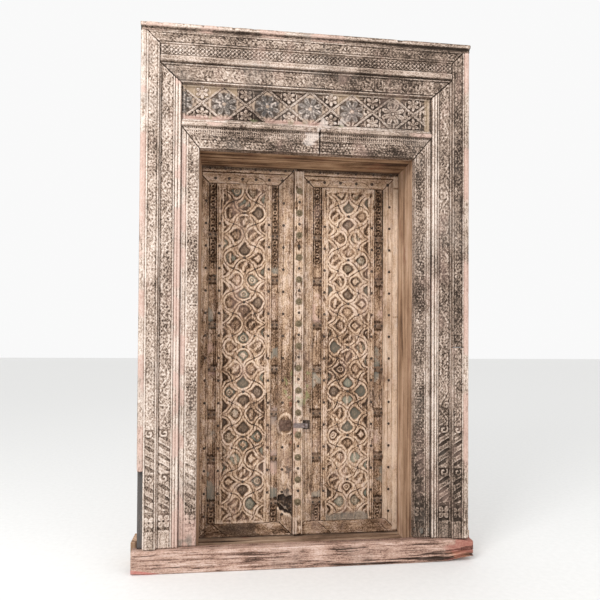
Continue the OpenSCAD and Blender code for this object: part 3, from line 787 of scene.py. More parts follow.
mid_rise = (LINTEL_Z - MIDHEAD_Z) / (OUT_X - MID_X)
for side, axis, seed in (("left", "mirrored", 21), ("right", "up", 22)):
    frame_piece(side + "_middle_band", side + "_middle_jamb", FRAME_V,
        [part(axis, MID_X, [(0, FIL_W - 0.4, 2.7), (FIL_W - 0.4, FIL_W, 0.4), (FIL_W, OUT_X - MID_X, 2.1)],
        lambda u: SILL_Z, lambda u: MIDHEAD_Z + u * mid_rise - 1.4, 2.4, middle_field(seed, True), BACK)])
frame_piece("head_middle_band", "middle_head", FRAME_H,
    [part("across", MIDHEAD_Z, [(0, LINTEL_Z - MIDHEAD_Z, 2.1)], lambda u: -MID_X - u / mid_rise + 1.4,
    lambda u: MID_X + u / mid_rise - 1.4, 2.4, middle_field(23, False), BACK)])

ROSE_P = 195.0
ROSE_X = 187 - MID_X


def frieze_field(U, V, X, Z, tint):
    height = MIDHEAD_Z - FRIEZE_Z
    zc = FRIEZE_Z + height * 0.53
    reach = height * 0.47
    du = fold(X - ROSE_X, ROSE_P)
    k = np.floor((X - ROSE_X) / ROSE_P + 0.5)
    dz = Z - zc
    d = np.abs(np.abs(du) / (ROSE_P / 2) + np.abs(dz) / reach - 1) / math.hypot(2 / ROSE_P, 1 / reach)
    inside = (np.abs(du) / (ROSE_P / 2) + np.abs(dz) / reach) < 1
    ribbon = np.maximum(bead(d - 2.6, 2.6), 0.6 * (d < 3.5))
    ex = fold(X - ROSE_X + ROSE_P / 2, ROSE_P)
    rose, petal, r = petals(du, dz * 1.1, 60, 8, math.pi / 8)
    boss = bead(np.hypot(du, dz), 9)
    leaf = 0.75 * flecks(0.2, 0.5, du * 1.3, dz, 80, 13) * (np.hypot(du, dz * 1.1) > 50)
    tri = np.zeros_like(X)
    half = np.zeros_like(X)
    for s in (1, -1):
        p, pm, rr = petals(ex, dz - s * reach * 0.62, 31, 6, math.pi / 2)
        out = (~inside) & (s * dz > 4)
        tri = np.where(out, np.maximum(p * 0.9, 0.5 * bead(rr * 31 - 36, 3)), tri)
        half = np.where(out, pm, half)
        tri = np.where(out, np.maximum(tri, bead(np.hypot(ex, dz - s * reach * 0.62), 5.5)), tri)
    h = np.where(inside, np.maximum(np.maximum(rose, boss), leaf), tri)
    h = np.maximum(h * (d > 6.5), ribbon)
    frame_h = np.maximum(bead(height - U - 3, 4), bead(U - 14, 3.5))
    ends = MID_X - np.abs(X)
    h = np.where((U < 19) | (height - U < 6) | (ends < 20), np.maximum(frame_h, 0.5 * (ends < 16)), h)
    h = h * (1 - bead(ends - 18, 2))
    lip = U < 10
    y = np.where(lip, low("frieze_panel", "y") + 0.4 + 2.5 * (1 - bead(U - 5, 6)), low("frieze_panel", "y")
        + 6.2 + (1 - h) * 8.5)
    worn_off = blots(0.52, 0.7, X, Z, 82, 90)
    shown = 1 - 0.35 * worn_off
    dark_rose = (np.choose(np.clip(k.astype(int) + 1, 0, 6), [0.85, 0.75, 1.1, 0.95, 0.95, 0.35, 0.3])
        * (1 - 0.85 * ss(BUTT_X + 130, BUTT_X + 260, X)))
    bare = ss(BUTT_X + 60, BUTT_X + 230, X)
    paint(tint, (1 - petal) * 0.5 * inside * (d > 6) * (1 - bare), (0.42, 0.31, 0.23))
    # Painted shade: the sunk ground between the petals is laid near-black.
    paint(tint, (1 - petal) * 0.75 * inside * (r < 0.95) * (r > 0.2) * (1 - 0.6 * bare),
        (0.05, 0.042, 0.038))
    # Painted highlights: pale is laid on the petals' rims and lower parts, away from the core.
    core = ss(0.35, 0.62, rose) * flecks(0.1, 0.4, X, Z, 89, 7)
    paint(tint, 0.62 * petal * (1 - core) * (inside | (half > 0.4)) * (1 - bare), PALE)
    paint(tint, np.where(inside, petal * core, 0) * dark_rose * shown * (r > 0.14), BLUE)
    paint(tint, half * core * 0.9 * shown * (1 - bare) * (noise(k * 3.1, dz * 0 + 5, 83, 1.0) > 0.3), BLUE)
    paint(tint, 0.66 * (~inside) * (dz > reach * 0.3) * (X < 245 - MID_X) * (half < 0.3), OCHRE)
    paint(tint, 0.8 * jamb_zone(X, MID_X - 30, MID_X - 8) * (U > 12), OCHRE)
    low_band = (1 - ss(20, 42, U)) * ss(11, 13, U)
    paint(tint, low_band * 0.8 * (X < BUTT_X + 14) * flecks(0.35, 0.5, X, Z, 84, 70), PINK)
    paint(tint, 0.5 * low_band * blots(0.6, 0.75, X, Z, 85, 40) * (1 - bare), GREEN)
    paint(tint, 0.5 * (~inside) * (dz > 0) * (half < 0.2) * blots(0.5, 0.7, X, Z, 88, 60)
        * (X > BUTT_X + 54), OCHRE)
    pale_patch = (jamb_zone(X, BUTT_X - 60, BUTT_X + 120, 50) * (1 - ss(0.45, 0.8, np.abs(U - 34) / 60))
        * 0.66)
    paint(tint, pale_patch * blots(0.42, 0.64, X, Z, 86, 34, 4), PALE)
    grime = 0.05 + 0.35 * blots(0.45, 0.7, X, Z, 87, 160) + 0.35 * ss(0.0, 400, X)
    return y + rough(X, Z, 81, "x") * 0.6, np.where(lip, 0.9, h * 0.55 + 0.35), grime


frame_piece("rosette_frieze", "frieze_panel", FRAME_H,
    [part("across", FRIEZE_Z, [(0, 10, 1.7), (10, 10.5, 0.5), (10.5, MIDHEAD_Z - FRIEZE_Z, 2.2)],
    lambda u: -MID_X + 0.3, lambda u: MID_X - 0.3, 2.3, frieze_field, BACK)])


def ledge_field(U, V, X, Z, tint):
    front = low("left_ledge", "y")
    h_all = FRIEZE_Z - LEDGE_Z
    y = front + 0.4 + 2.0 * (1 - bead(U - 6, 8)) * (U < 13) + np.where(U > 13, (U - 13) * 1.1, 0)
    chip = blots(0.62, 0.78, X, Z, 92, 36) * 3.5
    paint(tint, 0.4 * blots(0.45, 0.6, X, Z, 93, 200, 2), PINK)
    paint(tint, 0.6 * jamb_zone(X, BUTT_X - 60, BUTT_X + 90, 50) * blots(0.4, 0.6, X, Z, 95, 30), PALE)
    return y + chip + rough(X, Z, 91, "x") * 0.8, 0.88 - 0.1 * chip, 0.5 * grime_of(X, Z, 94)


for name, node, x0, x1 in (("ledge_left_length", "left_ledge", -MID_X, BUTT_X - 0.6),
        ("ledge_right_length", "right_ledge", BUTT_X + 0.6, MID_X)):
    frame_piece(name, node, FRAME_H,
        [part("across", LEDGE_Z, [(0, FRIEZE_Z - LEDGE_Z, 1.7)], lambda u, x0=x0: x0 + 0.3, lambda u,
        x1=x1: x1 - 0.3, 4, ledge_field, BACK)])


def inner_field(seed, jamb):
    front = low("right_inner_head", "y")
    rise = LEDGE_Z - OPEN_Z
    w = (MID_X - IN_X) * 0.69

    def field(U, V, X, Z, tint):
        if jamb:
            h = honeycomb(U, V, 12.5, seed)
            z0 = SILL_Z
            m = jamb_zone(Z, z0 + 160, z0 + 420)
            h = blend(h, np.minimum(slashes(U, Z, w, 43) + 0.15, 0.45 + 0.55 * h), m)
            m = jamb_zone(Z, z0 + 86, z0 + 152)
            flower, petal, r = petals(U - w / 2, Z - (z0 + 119), w * 0.5, 4, math.pi / 4)
            h = blend(h, np.clip(flower + 0.2 * petal, 0, 1), m)
            m = 1 - ss(z0 + 60, z0 + 66, Z)
            h = blend(h, 0.85, m)
            edge = np.maximum(bead(U - 2, 2.6), bead(U - w + 2.5, 3))
            h = np.maximum(h, edge)
        else:
            rows = U > rise * 0.62
            dent = (np.abs(fold(X, 9.5)) < 3.2) | (np.abs(fold(U - rise * 0.62 - 8, 16)) < 3.0)
            h = np.where(rows, np.where(dent, 1.0, 0.05), honeycomb(X, U, 12.5, seed))
            h = np.maximum(h, np.maximum(bead(U - 2, 2.6), bead(U - rise * 0.62, 2.2)))
        k = worn(X, Z, seed + 50, 90)
        h = h * (1 - 0.4 * k) + 0.4 * k
        y = front + 0.3 + (1 - h) * 3.6
        grime = grime_of(X, Z, seed, 1.1)
        if jamb:
            fil = U > w + 0.2
            bump = np.maximum(bead(U - w - 8, 5), bead(U - w - 18, 5))
            y = np.where(fil, front + 6 - 5 * bump, y)
            h = np.where(fil, 0.5 + 0.45 * bump, h)
            grime = np.where(fil, grime * 0.6, grime)
            paint(tint, np.where(fil & (X < 0), 0.5 * blots(0.4, 0.6, X, Z, seed + 2, 90, 4), 0), PINK)
            paint(tint, 0.5 * (X < 0) * (1 - ss(SILL_Z + 60, SILL_Z + 260, Z)), PINK)
            paint(tint, 0.6 * (1 - ss(SILL_Z + 30, SILL_Z + 62, Z)) * flecks(0.4, 0.6, X, Z, seed, 20),
                (0.17, 0.16, 0.14))
        else:
            paint(tint, 0.55 * jamb_zone(X, BUTT_X - 90, BUTT_X + 20, 50) * blots(0.42, 0.66, X, Z, 98, 34,
                4), PALE)
        return y + rough(X, Z, seed + 1, "z" if jamb else "x") * 0.4, h, grime
    return field


in_rise = (LEDGE_Z - OPEN_Z) / (MID_X - IN_X)
W_IN = (MID_X - IN_X) * 0.69
for side, axis, seed in (("left", "mirrored", 31), ("right", "up", 32)):
    frame_piece(side + "_inner_band", side + "_inner_jamb", FRAME_V,
        [part(axis, IN_X, [(0, W_IN, 2.0), (W_IN, W_IN + 0.4, 0.4), (W_IN + 0.4, MID_X - IN_X, 2.6)],
        lambda u: SILL_Z, lambda u: OPEN_Z + u * in_rise - 0.8, 2.2, inner_field(seed, True), BACK)])
frame_piece("head_inner_band_left", "left_inner_head", FRAME_H,
    [part("across", OPEN_Z, [(0, LEDGE_Z - OPEN_Z, 2.0)], lambda u: -IN_X - u / in_rise + 0.8,
    lambda u: BUTT_X - 0.9, 2.2, inner_field(33, False), BACK)])
frame_piece("head_inner_band_right", "right_inner_head", FRAME_H,
    [part("across", OPEN_Z, [(0, LEDGE_Z - OPEN_Z, 2.0)], lambda u: BUTT_X + 0.9, lambda u: IN_X + u
    / in_rise - 0.8, 2.2, inner_field(34, False), BACK)])


# ---------------------------------------------------------------- the sill, lofted along its length

def sill_beam():
    lo, hi = [c * 1000 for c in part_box("sill")[0]], [c * 1000 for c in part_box("sill")[1]]
    n = max(40, int((hi[0] - lo[0]) / (5 * FINE)))
    xs = np.linspace(lo[0], hi[0], n + 1)
    ring = []
    r = 7.0
    front = np.linspace(0, 1, 30)
    for t in front:
        ring.append((lo[1], lo[2] + r + (hi[2] - lo[2] - 2 * r) * t))
    for a in (30, 60):
        ring.append((lo[1] + r - r * math.cos(math.radians(a)), hi[2] - r + r * math.sin(math.radians(a))))
    for t in np.linspace(0, 1, 9):
        ring.append((lo[1] + r + (hi[1] - lo[1] - r) * t, hi[2]))
    for t in np.linspace(1, 0, 5)[1:]:
        ring.append((hi[1], lo[2] + (hi[2] - lo[2]) * t))
    for t in (0.3, 0.6):
        ring.append((hi[1] + (lo[1] + r - hi[1]) * t, lo[2]))
    ring.append((lo[1] + r, lo[2]))
    for a in (60, 30):
        ring.append((lo[1] + r - r * math.cos(math.radians(a)), lo[2] + r - r * math.sin(math.radians(a))))
    ring = np.array(ring)
    m = len(ring)
    Y = np.tile(ring[:, 0], (n + 1, 1))
    Z = np.tile(ring[:, 1], (n + 1, 1))
    X = np.tile(xs[:, None], (1, m))
    t = (X - lo[0]) / (hi[0] - lo[0])
    face = (np.arange(m) < 32)[None, :] * 1.0
    grain = (fbm(X * 0.10, Z * 2.6 + 9 * noise(X, Z, 103, 300), 101, 20, 3) - 0.35)
    gouge = ss(0.55, 0.8, grain + 0.35) * (2.5 + 6.5 * ss(0.35, 1.0, t))
    Y = Y + face * np.clip(gouge, 0, 9)
    worn_end = ss(0.93, 1.0, t)
    Zm = (lo[2] + hi[2]) / 2
    Z = Z + np.where(Z > Zm, -1.5 * noise(X, Y, 104, 90) - worn_end * 10 * (Y < hi[1] - 1), 0)
    lift = ss(0.9, 1.0, t) * 17 + ss(0.80, 0.9, t) * 3
    Z = Z + np.where((Z < Zm), lift, 0)
    left_lift = (1 - ss(0.0, 0.05, t)) * 4
    Z = Z + np.where((Z < Zm), left_lift, 0)
    Y = np.minimum(Y + (worn_end * 6 + (1 - ss(0, 0.004, t)) * 1.5) * face, hi[1])
    index = np.arange((n + 1) * m).reshape(n + 1, m)
    nxt = np.roll(index, -1, axis=1)
    quads = np.stack([index[:-1], index[1:], nxt[1:], nxt[:-1]], -1).reshape(-1, 4).tolist()
    faces = quads + [index[0].tolist(), index[-1][::-1].tolist()]
    h = np.clip(0.9 - gouge * 0.22 * face, 0, 1)
    cav = np.clip(0.62 - gouge * 0.09 * face, 0, 1)
    grime = 0.5 * blots(0.4, 0.7, X, Z, 105, 200) + 0.5 * (1 - face) * (Y > 20) + 0.25 * ss(0.3, 0.8, t)
    tint = np.zeros(X.shape + (4,))
    high_z = (Z - lo[2]) / (hi[2] - lo[2])
    paint(tint, 1.0 * (1 - ss(0.02, 0.10 * (1.3 - high_z), t)) * (1 - ss(0.14, 0.30, high_z + t * 2.2)),
        (0.52, 0.16, 0.14))
    paint(tint, 0.62 * ss(0.84, 0.97, t) * ss(0.42, 0.66, fbm(X, Z * 3, 107, 60, 5) + 0.1 * t),
        (0.38, 0.13, 0.10))
    paint(tint, 0.5 * ss(0.6, 0.95, t) * (1 - high_z) * blots(0.45, 0.6, X, Z * 2, 108, 60, 2),
        (0.50, 0.22, 0.13))
    relief = np.stack([h.ravel(), cav.ravel(), np.clip(grime, 0, 1).ravel(), np.ones(h.size)], 1)
    return {"verts": np.stack([X.ravel(), Y.ravel(), Z.ravel()], 1), "faces": faces, "front": len(quads),
        "relief": relief, "tint": tint.reshape(-1, 4)}


make("front_sill", [sill_beam()], "frame", ["sill"], SILL_M)


# ---------------------------------------------------------------- the leaves

def crossing(dx, dz):
    """Undoes the waves of the straps, so that they cross as straight diagonals."""
    half = TIE_P / 2
    a, b = dx, dz
    for _ in range(5):
        a, b = (dx - 17 * np.sin(np.pi * a / (2 * STRAP_X)) * np.cos(np.pi * b / half),
            dz + 15 * np.sin(np.pi * b / half) * np.cos(np.pi * a / (2 * STRAP_X)))
    return a, b


def lattice_field(seed, side):
    mid = LATTICE[side]
    quarter = TIE_P / 4

    def field(U, V, X, Z, tint):
        jx = (noise(X, Z, seed, 60) - 0.5) * 7 + (noise(X, Z, seed + 11, 20) - 0.5) * 4
        jz = (noise(Z, X, seed + 1, 60) - 0.5) * 7 + (noise(Z, X, seed + 12, 20) - 0.5) * 4
        a, b = crossing(X - mid + jx, Z + jz - (TIE_Z + TIE_P / 2))
        p, q = a / STRAP_X + b / quarter, a / STRAP_X - b / quarter
        ip, iq = np.floor(p / 2), np.floor(q / 2)
        span_mm = STRAP_X * quarter / math.hypot(STRAP_X, quarter)
        dp, dq = np.abs(fold(p, 2)) * span_mm, np.abs(fold(q, 2)) * span_mm
        who = ((ip.astype(int) + 40) * 83 + (iq.astype(int) + 40) * 7) % 1200
        loc_u = ((p - 2 * ip - 1) + (q - 2 * iq - 1)) * 0.5
        loc_v = ((p - 2 * ip - 1) - (q - 2 * iq - 1)) * 0.5
        rnd = np.random.RandomState(seed).rand(1200)
        kind, hue = rnd[who], rnd[(who * 7 + 13) % 1200]
        near = -7.0 * np.log(np.exp(-dp / 7.0) + np.exp(-dq / 7.0)) - (9.0 if side == "left" else 10.5)
        edge = LAT_H - np.abs(X - mid)
        top, foot = RAIL_Z1 - 22 - Z, Z - RAIL_Z0 - 12
        near = np.minimum(near, np.minimum(edge - 3, np.minimum(top, foot)) * 0.9)
        inside = near > 0
        bowl = ss(0, 9, near)
        depth = 4.5 + 5.5 * kind
        r = np.hypot(loc_u, loc_v) * 1.5
        ang = (hue - 0.5) * 1.6
        lu = loc_v * np.cos(ang) + loc_u * np.sin(ang)
        lv = -loc_v * np.sin(ang) + loc_u * np.cos(ang)
        leaf = bead(lv - 0.10 * np.sin(lu * 5), 0.17) * (np.abs(lu) < 0.42) * (1 - 0.4 * bead(lv, 0.04))
        diamond = ss(0.45, 0.2, np.abs(loc_u) + np.abs(loc_v))
        ring = np.maximum(bead(r - 0.36, 0.12), bead(r, 0.16))
        swell = bead(r - 0.1, 0.75)
        motif = np.where(kind < 0.28, leaf * 0.7, 0)
        motif = np.where((kind >= 0.28) & (kind < 0.42), diamond * 0.8, motif)
        motif = np.where((kind >= 0.42) & (kind < 0.52), ring * 0.6, motif)
        motif = np.where((kind >= 0.52) & (kind < 0.75), swell * 0.5, motif) * bowl
        over = ((ip + iq) % 2 == 0)
        cut = np.minimum(dp, dq)
        other = np.maximum(dp, dq)
        rim = np.maximum(bead(near + 2.2, 2.6), bead(cut - 5.2, 2.8))
        rubbed = ss(0.38, 0.66, 0.6 * noise(X, Z, seed + 14, 34) + 0.4 * noise(X, Z, seed + 15, 9))
        seam = bead(cut, 2.2) * (other > 5) * (1 - 0.8 * rubbed)
        strap = np.clip(0.55 + 0.42 * rim * (1 - 0.5 * rubbed) - 0.26 * seam - 0.12 * over * (other < 9), 0,
            1)
        strap = np.where((top < 4) | (foot < 2) | (edge < 3), 0.9, strap)
        y_top = low(side + "_lattice", "y")
        y = y_top + 0.3 + (1 - strap) * 4.2
        floor = y_top + 1.6 + depth * bowl
        y = np.where(inside, floor - motif * 5.0, y)
        h = np.where(inside, 0.50 - 0.14 * kind + 0.34 * motif + 0.12 * bowl, strap)
        if side == "right":
            patch = 1 - ss(RAIL_Z0 + 15, RAIL_Z0 + 75, Z + 20 * noise(X, Z, seed + 8, 40))
            y = blend(y, y_top + 3.5 + 2 * noise(X, Z, seed + 9, 12), patch)
            paint(tint, patch * 0.8, (0.20, 0.185, 0.155))
        lower = 0.8 if side == "left" else 0.6 + 0.5 * (1 - ss(RAIL_Z0 + 300, RAIL_Z0 + 1000, Z))
        green = (hue < 0.36) | (top < 90)
        paint(tint, inside * bowl * 0.62 * green * lower * (1 - 0.8 * motif), TEAL)
        paint(tint, inside * (kind > 0.8) * bowl * 0.5, (0.12, 0.088, 0.066))
        worn_in = ((side == "left") * jamb_zone(Z, RAIL_Z0 + 330, RAIL_Z0 + 900, 200)
            * blots(0.45, 0.7, X, Z, seed + 6, 90, 2))
        grime = 0.12 + 0.4 * blots(0.45, 0.75, X, Z, seed + 7, 210) + 0.4 * worn_in + 0.1 * inside
        return (np.minimum(y + rough(X, Z, seed + 2) * 1.1, y_top + 14),
            h - 0.2 * flecks(0.55, 0.8, X, Z, seed + 13, 6), grime)
    return field


for side, seed in (("left", 201), ("right", 202)):
    x0 = low(side + "_lattice", "x")
    leaf_piece(side + "_lattice_carving", side, side + "_lattice", LEAF_V,
        [part("up", x0, [(0, 2 * LAT_H, 2.45)], lambda u: RAIL_Z0 + 0.2, lambda u: RAIL_Z1 - 0.2, 2.6,
        lattice_field(seed, side), FACE_BACK)])


def leaf_paint(X, Z, tint, seed):
    """Green and red traces near the meeting line."""
    near = 1 - ss(40, 90, np.abs(X - MEET_X - 23))
    paint(tint, 0.75 * near * jamb_zone(Z, SILL_Z + 590, SILL_Z + 760, 18) * blots(0.52, 0.66, X * 1.5, Z,
        seed, 30), (0.27, 0.27, 0.12))
    paint(tint, 0.45 * (1 - ss(8, 30, np.abs(X - MEET_X))) * jamb_zone(Z, SILL_Z + 390, SILL_Z + 700, 30)
        * flecks(0.48, 0.6, X, Z, seed + 1, 40), (0.40, 0.13, 0.08))


def stile_field(x0, x1, ribs, seed, burnt):
    def field(U, V, X, Z, tint):
        y = 0.3 + 0 * U
        h = 0.8 + 0 * U
        for c, w, d in ribs:
            b = bead(X - c, w)
            y = y + d * b
            h = h - 0.10 * d * b
        split = (bead(X - x0 - (x1 - x0) * 0.35 - 5 * (noise(Z, 0 * Z, seed + 3, 400) - 0.5), 0.8)
            * flecks(0.5, 0.62, Z, 0 * Z, seed + 4, 260) * 3)
        chip = blots(0.66, 0.82, X * 1.5, Z * 0.5, seed + 5, 40) * 2.2
        y = y + split + chip
        h = h - 0.25 * split - 0.12 * chip
        leaf_paint(X, Z, tint, seed + 6)
        grime = (0.15 + 0.4 * blots(0.45, 0.75, X, Z, seed + 8, 240) + 0.3
            * (1 - ss(LEAF_Z0, LEAF_Z0 + 160, Z)))
        if burnt:
            ragged = 15 * (noise(X, Z, seed + 9, 20) - 0.5) + 9 * (noise(X, Z, seed + 12, 7) - 0.5)
            slope = RAIL_Z0 + 34 + 0.55 * (x1 - X) + ragged
            hole = (ss(-4, 4, Z - slope) * (1 - ss(-5, 5, Z - (RAIL_Z0 + 132) - ragged))
                * ss(-4, 4, X - x0 - 4 + ragged))
            splinter = bead(Z - slope - 22 + 5 * noise(X, Z, seed + 13, 12), 3.2) * (hole > 0.5)
            y = y + hole * (8 + 4 * noise(X, Z, seed + 10, 9)) * (1 - 0.7 * splinter)
            h = h - 0.8 * hole * (1 - splinter)
            paint(tint, hole * (1 - 0.75 * splinter), (0.014, 0.011, 0.010))
            soot = np.exp(-((Z - RAIL_Z0 - 190) / 150) ** 2) * ss(x0 - 10, x0 + 60, X)
            fleck = ss(0.42, 0.62, 0.5 * noise(X, Z, seed + 14, 30) + 0.5 * noise(X, Z, seed + 15, 8))
            grime = grime + 0.6 * soot * fleck
            paint(tint, 0.75 * soot * fleck, (0.085, 0.07, 0.062))
            rr = np.hypot(X - (x1 - 34), (Z - HASP_Z) * 0.72)
            arch = bead(rr - 38, 6) * (Z > HASP_Z - 46)
            y = y - 2.4 * arch
            h = h + 0.15 * arch
            grime = grime - 0.3 * arch + 0.5 * (rr < 30)
        return FACE_Y + y + rough(X, Z, seed) * 0.45, h, grime
    return field


def stile(name, node, side, x0, x1, inner, ribs, seed):
    w = x1 - x0
    cut_top = min(w, LEAF_Z1 - RAIL_Z1 - 1)
    cut_low = min(w, RAIL_Z0 - LEAF_Z0 - 1)

    def lo(u):
        s = u if inner > 0 else w - u
        return (LEAF_Z0 + s) if s < cut_low else RAIL_Z0 - 1 + (s - cut_low) / max(w - cut_low, 1e-6)

    def hi(u):
        s = u if inner > 0 else w - u
        return RAIL_Z1 + cut_top * (1 - s / w)
    leaf_piece(name, side, node, BOARD_V if node == "right_outer_stile" else LEAF_V,
        [part("up", x0, [(0, w, 1.7)], lo, hi, 5,
        stile_field(x0, x1, ribs, seed, node == "left_meeting_stile"), FACE_BACK)])


def span(node):
    return low(node, "x"), high(node, "x")


a, b = span("left_outer_stile")
stile("left_outer_stile_board", "left_outer_stile", "left", a, b, 1, [(b - 4, 1.6, 2.0), (b - 9, 1.6, 2.0)],
    301)
a, b = span("left_meeting_stile")
stile("left_meeting_stile_board", "left_meeting_stile", "left", a, b + LAP, -1,
    [(a + 4, 1.8, 2.4), (a + 10, 1.8, 2.4), (a + 16, 1.8, 2.4), (a + 21, 1.4, 2.0)], 302)
a, b = span("right_meeting_stile")
stile("right_meeting_stile_board", "right_meeting_stile", "right", a, b, 1,
    [(b - 5, 1.8, 2.4), (b - 12, 1.8, 2.4), (b - 19, 2.0, 2.6), (b - 27, 1.8, 2.4), (b - 36, 1.6, 2.0)],
    303)
a, b = span("right_outer_stile")
stile("right_outer_stile_board", "right_outer_stile", "right", a, b, -1,
    [(a + 4, 1.8, 2.4), (a + 10, 1.8, 2.2), (a + 46, 1.8, 2.4)], 304)


# Splits and knife lines in the rails: the side, a height, and for both ends how far inward from the
# reveal and how far up from that height they lie.
RAIL_SPLITS = ((-1, RAIL_Z1, -12, 35, 25, 1), (-1, LEAF_Z0, -2, 8, 33, 32), (-1, LEAF_Z0, 63, 63, 136, 0),
    (1, LEAF_Z0, 404, 55, 336, -4), (1, LEAF_Z0, 82, 35, 42, -8))


def rail_field(seed, top):
    def field(U, V, X, Z, tint):
        y = 0.3 + 0 * U
        h = 0.78 + 0 * U
        if top:
            y = y + 2.4 * bead(Z - (OPEN_Z - 26), 2.6) - 1.2 * ss(OPEN_Z - 25, OPEN_Z - 22, Z)
            h = h - 0.8 * bead(Z - (OPEN_Z - 26), 3.2)
            for side in ("left", "right"):
                m = LATTICE[side]
                for s in (-1, 1):
                    arch = (bead(np.hypot((X - m - s * 57) / 1.35, Z - RAIL_Z1 + 6) - 38, 1.4)
                        * (Z > RAIL_Z1))
                    y, h = y + 1.5 * arch, h - 0.5 * arch
                y = y + 1.6 * bead(Z - RAIL_Z1 - 12, 1.3) * (np.abs(X - m) < 90)
            # Painted shadow under the soffit: the rail darkens towards its top, a dark band is painted
            # along the top edge, and on the right leaf a painted shadow wedge deepens towards the right.
            grime = 0.1 + 0.4 * ss(OPEN_Z - 35, OPEN_Z - 10, Z)
            paint(tint, 0.95 * ss(OPEN_Z - 15, OPEN_Z - 7, Z), DARK)
            paint(tint, 0.9 * ss(OPEN_Z - 24, OPEN_Z - 8, Z + 0.14 * (X - IN_X)) * (X > 0), DARK)
        else:
            corner = X < 297 - IN_X
            grime = 0.45 + 0.35 * blots(0.45, 0.6, X, Z, seed + 2, 120, 2) + 0.25 * corner
            paint(tint, 0.5 * corner * flecks(0.5, 0.6, X, Z, seed + 3, 60), (0.06, 0.04, 0.03))
        for hand, z0, in_a, up_a, in_b, up_b in RAIL_SPLITS:
            ax, az, bx, bz = hand * (IN_X - in_a), z0 + up_a, hand * (IN_X - in_b), z0 + up_b
            t = np.clip(((X - ax) * (bx - ax) + (Z - az) * (bz - az)) / ((bx - ax) ** 2 + (bz - az) ** 2),
                0, 1)
            d = np.hypot(X - ax - t * (bx - ax), Z - az - t * (bz - az))
            y, h = y + 2.4 * bead(d, 1.7), h - 0.7 * bead(d, 1.7)
        chip = blots(0.64, 0.8, X * 0.5, Z * 1.5, seed + 5, 40) * 2.2
        return FACE_Y + y + chip + rough(X, Z, seed, "x") * 0.5, h - 0.12 * chip, grime
    return field


def rail(name, node, side, outer_w, meet_w, z0, z1, top, seed):
    """A rail cut to the stiles' mitres at both ends."""
    x0 = low(side + "_leaf_boards", "x")
    x1 = high(side + "_leaf_boards", "x") + (LAP if side == "left" else 0.3)
    wl, wr = (outer_w, meet_w) if side == "left" else (meet_w, outer_w)
    span_z = z1 - z0

    def inset(w, u):
        s = (u if top else span_z - u) / min(w, span_z - 1)
        return w * (1 - min(max(s, 0), 1))
    leaf_piece(name, side, node, LEAF_H,
        [part("across", z0, [(0, span_z, 1.9)], lambda u: x0 + inset(wl, u) + 0.5, lambda u: x1
        - inset(wr, u) - 0.5, 4, rail_field(seed, top), FACE_BACK)])


for side, seed in (("left", 311), ("right", 315)):
    ow = high(side + "_outer_stile", "x") - low(side + "_outer_stile", "x")
    mw = high(side + "_meeting_stile", "x") - low(side + "_meeting_stile", "x")
    rail(side + "_top_rail_board", side + "_top_rail", side, ow, mw + (LAP if side == "left" else 0),
        RAIL_Z1, LEAF_Z1, True, seed)
    cut_o, cut_m = min(ow, RAIL_Z0 - LEAF_Z0 - 1), min(mw, RAIL_Z0 - LEAF_Z0 - 1)
    rail(side + "_bottom_rail_board", side + "_bottom_rail", side, cut_o, cut_m, LEAF_Z0, RAIL_Z0, False,
        seed + 2)


def face_layout(side):
    """The lattice's middle, half the width between the sunk strips, and both strips' spans."""
    mid = LATTICE[side]
    inner = mid - low(side + "_border_strips", "x")
    left, right = span(side + "_groove_strips")
    return mid, inner, [(left, mid - inner), (mid + inner, right)]


def groove_field(x0, x1, seed):
    w = x1 - x0

    def field(U, V, X, Z, tint):
        c = bead(fold(Z + 9 * noise(X, Z, seed, 30), 24) / 12, 1.0)
        chain = np.maximum(bead(np.hypot(U - w / 2, fold(Z, 30)) - 8, 3.2),
            bead(np.abs(U - w / 2) - w * 0.3, 2.2))
        leaf = np.maximum(chain, flecks(0.4, 0.7, X, Z, seed + 1, 8) * 0.6)
        top = ss(RAIL_Z1 - 390 - 60 * noise(X, Z, seed + 2, 40), RAIL_Z1 - 370, Z)
        foot = 1 - ss(RAIL_Z0 + 110, RAIL_Z0 + 135, Z)
        carve = np.clip(top + foot * 0.8, 0, 1)
        step = bead(U - w * 0.7, 2.0) * 0.5
        y = (1 - leaf) * 5.0 * carve + (1 - carve) * (0.4 + 2.2 * step)
        h = carve * leaf * 0.8 + (1 - carve) * (0.78 - 0.4 * step)
        shade = (0.40 + 0.55 * carve + 0.35 * blots(0.5, 0.7, X, Z, seed + 4, 140) + 0.5 * bead(U - 1, 5)
            + 0.5 * bead(U - w + 1, 5))
        beside = bead(np.abs(fold(Z - TIE_Z, TIE_P)) - 19, 6)
        h = h - 0.5 * beside
        shade = shade + 0.7 * beside
        paint(tint, (1 - carve) * 0.7 * blots(0.5, 0.72, X, Z, seed + 5, 100, 4), (0.25, 0.24, 0.20))
        paint(tint, (1 - carve) * 0.5 * blots(0.5, 0.75, X, Z, seed + 6, 120, 4), PINK)
        return GROOVE_Y + 0.3 + y * 0.85 + rough(X, Z, seed + 7) * 0.4, h, shade
    return field


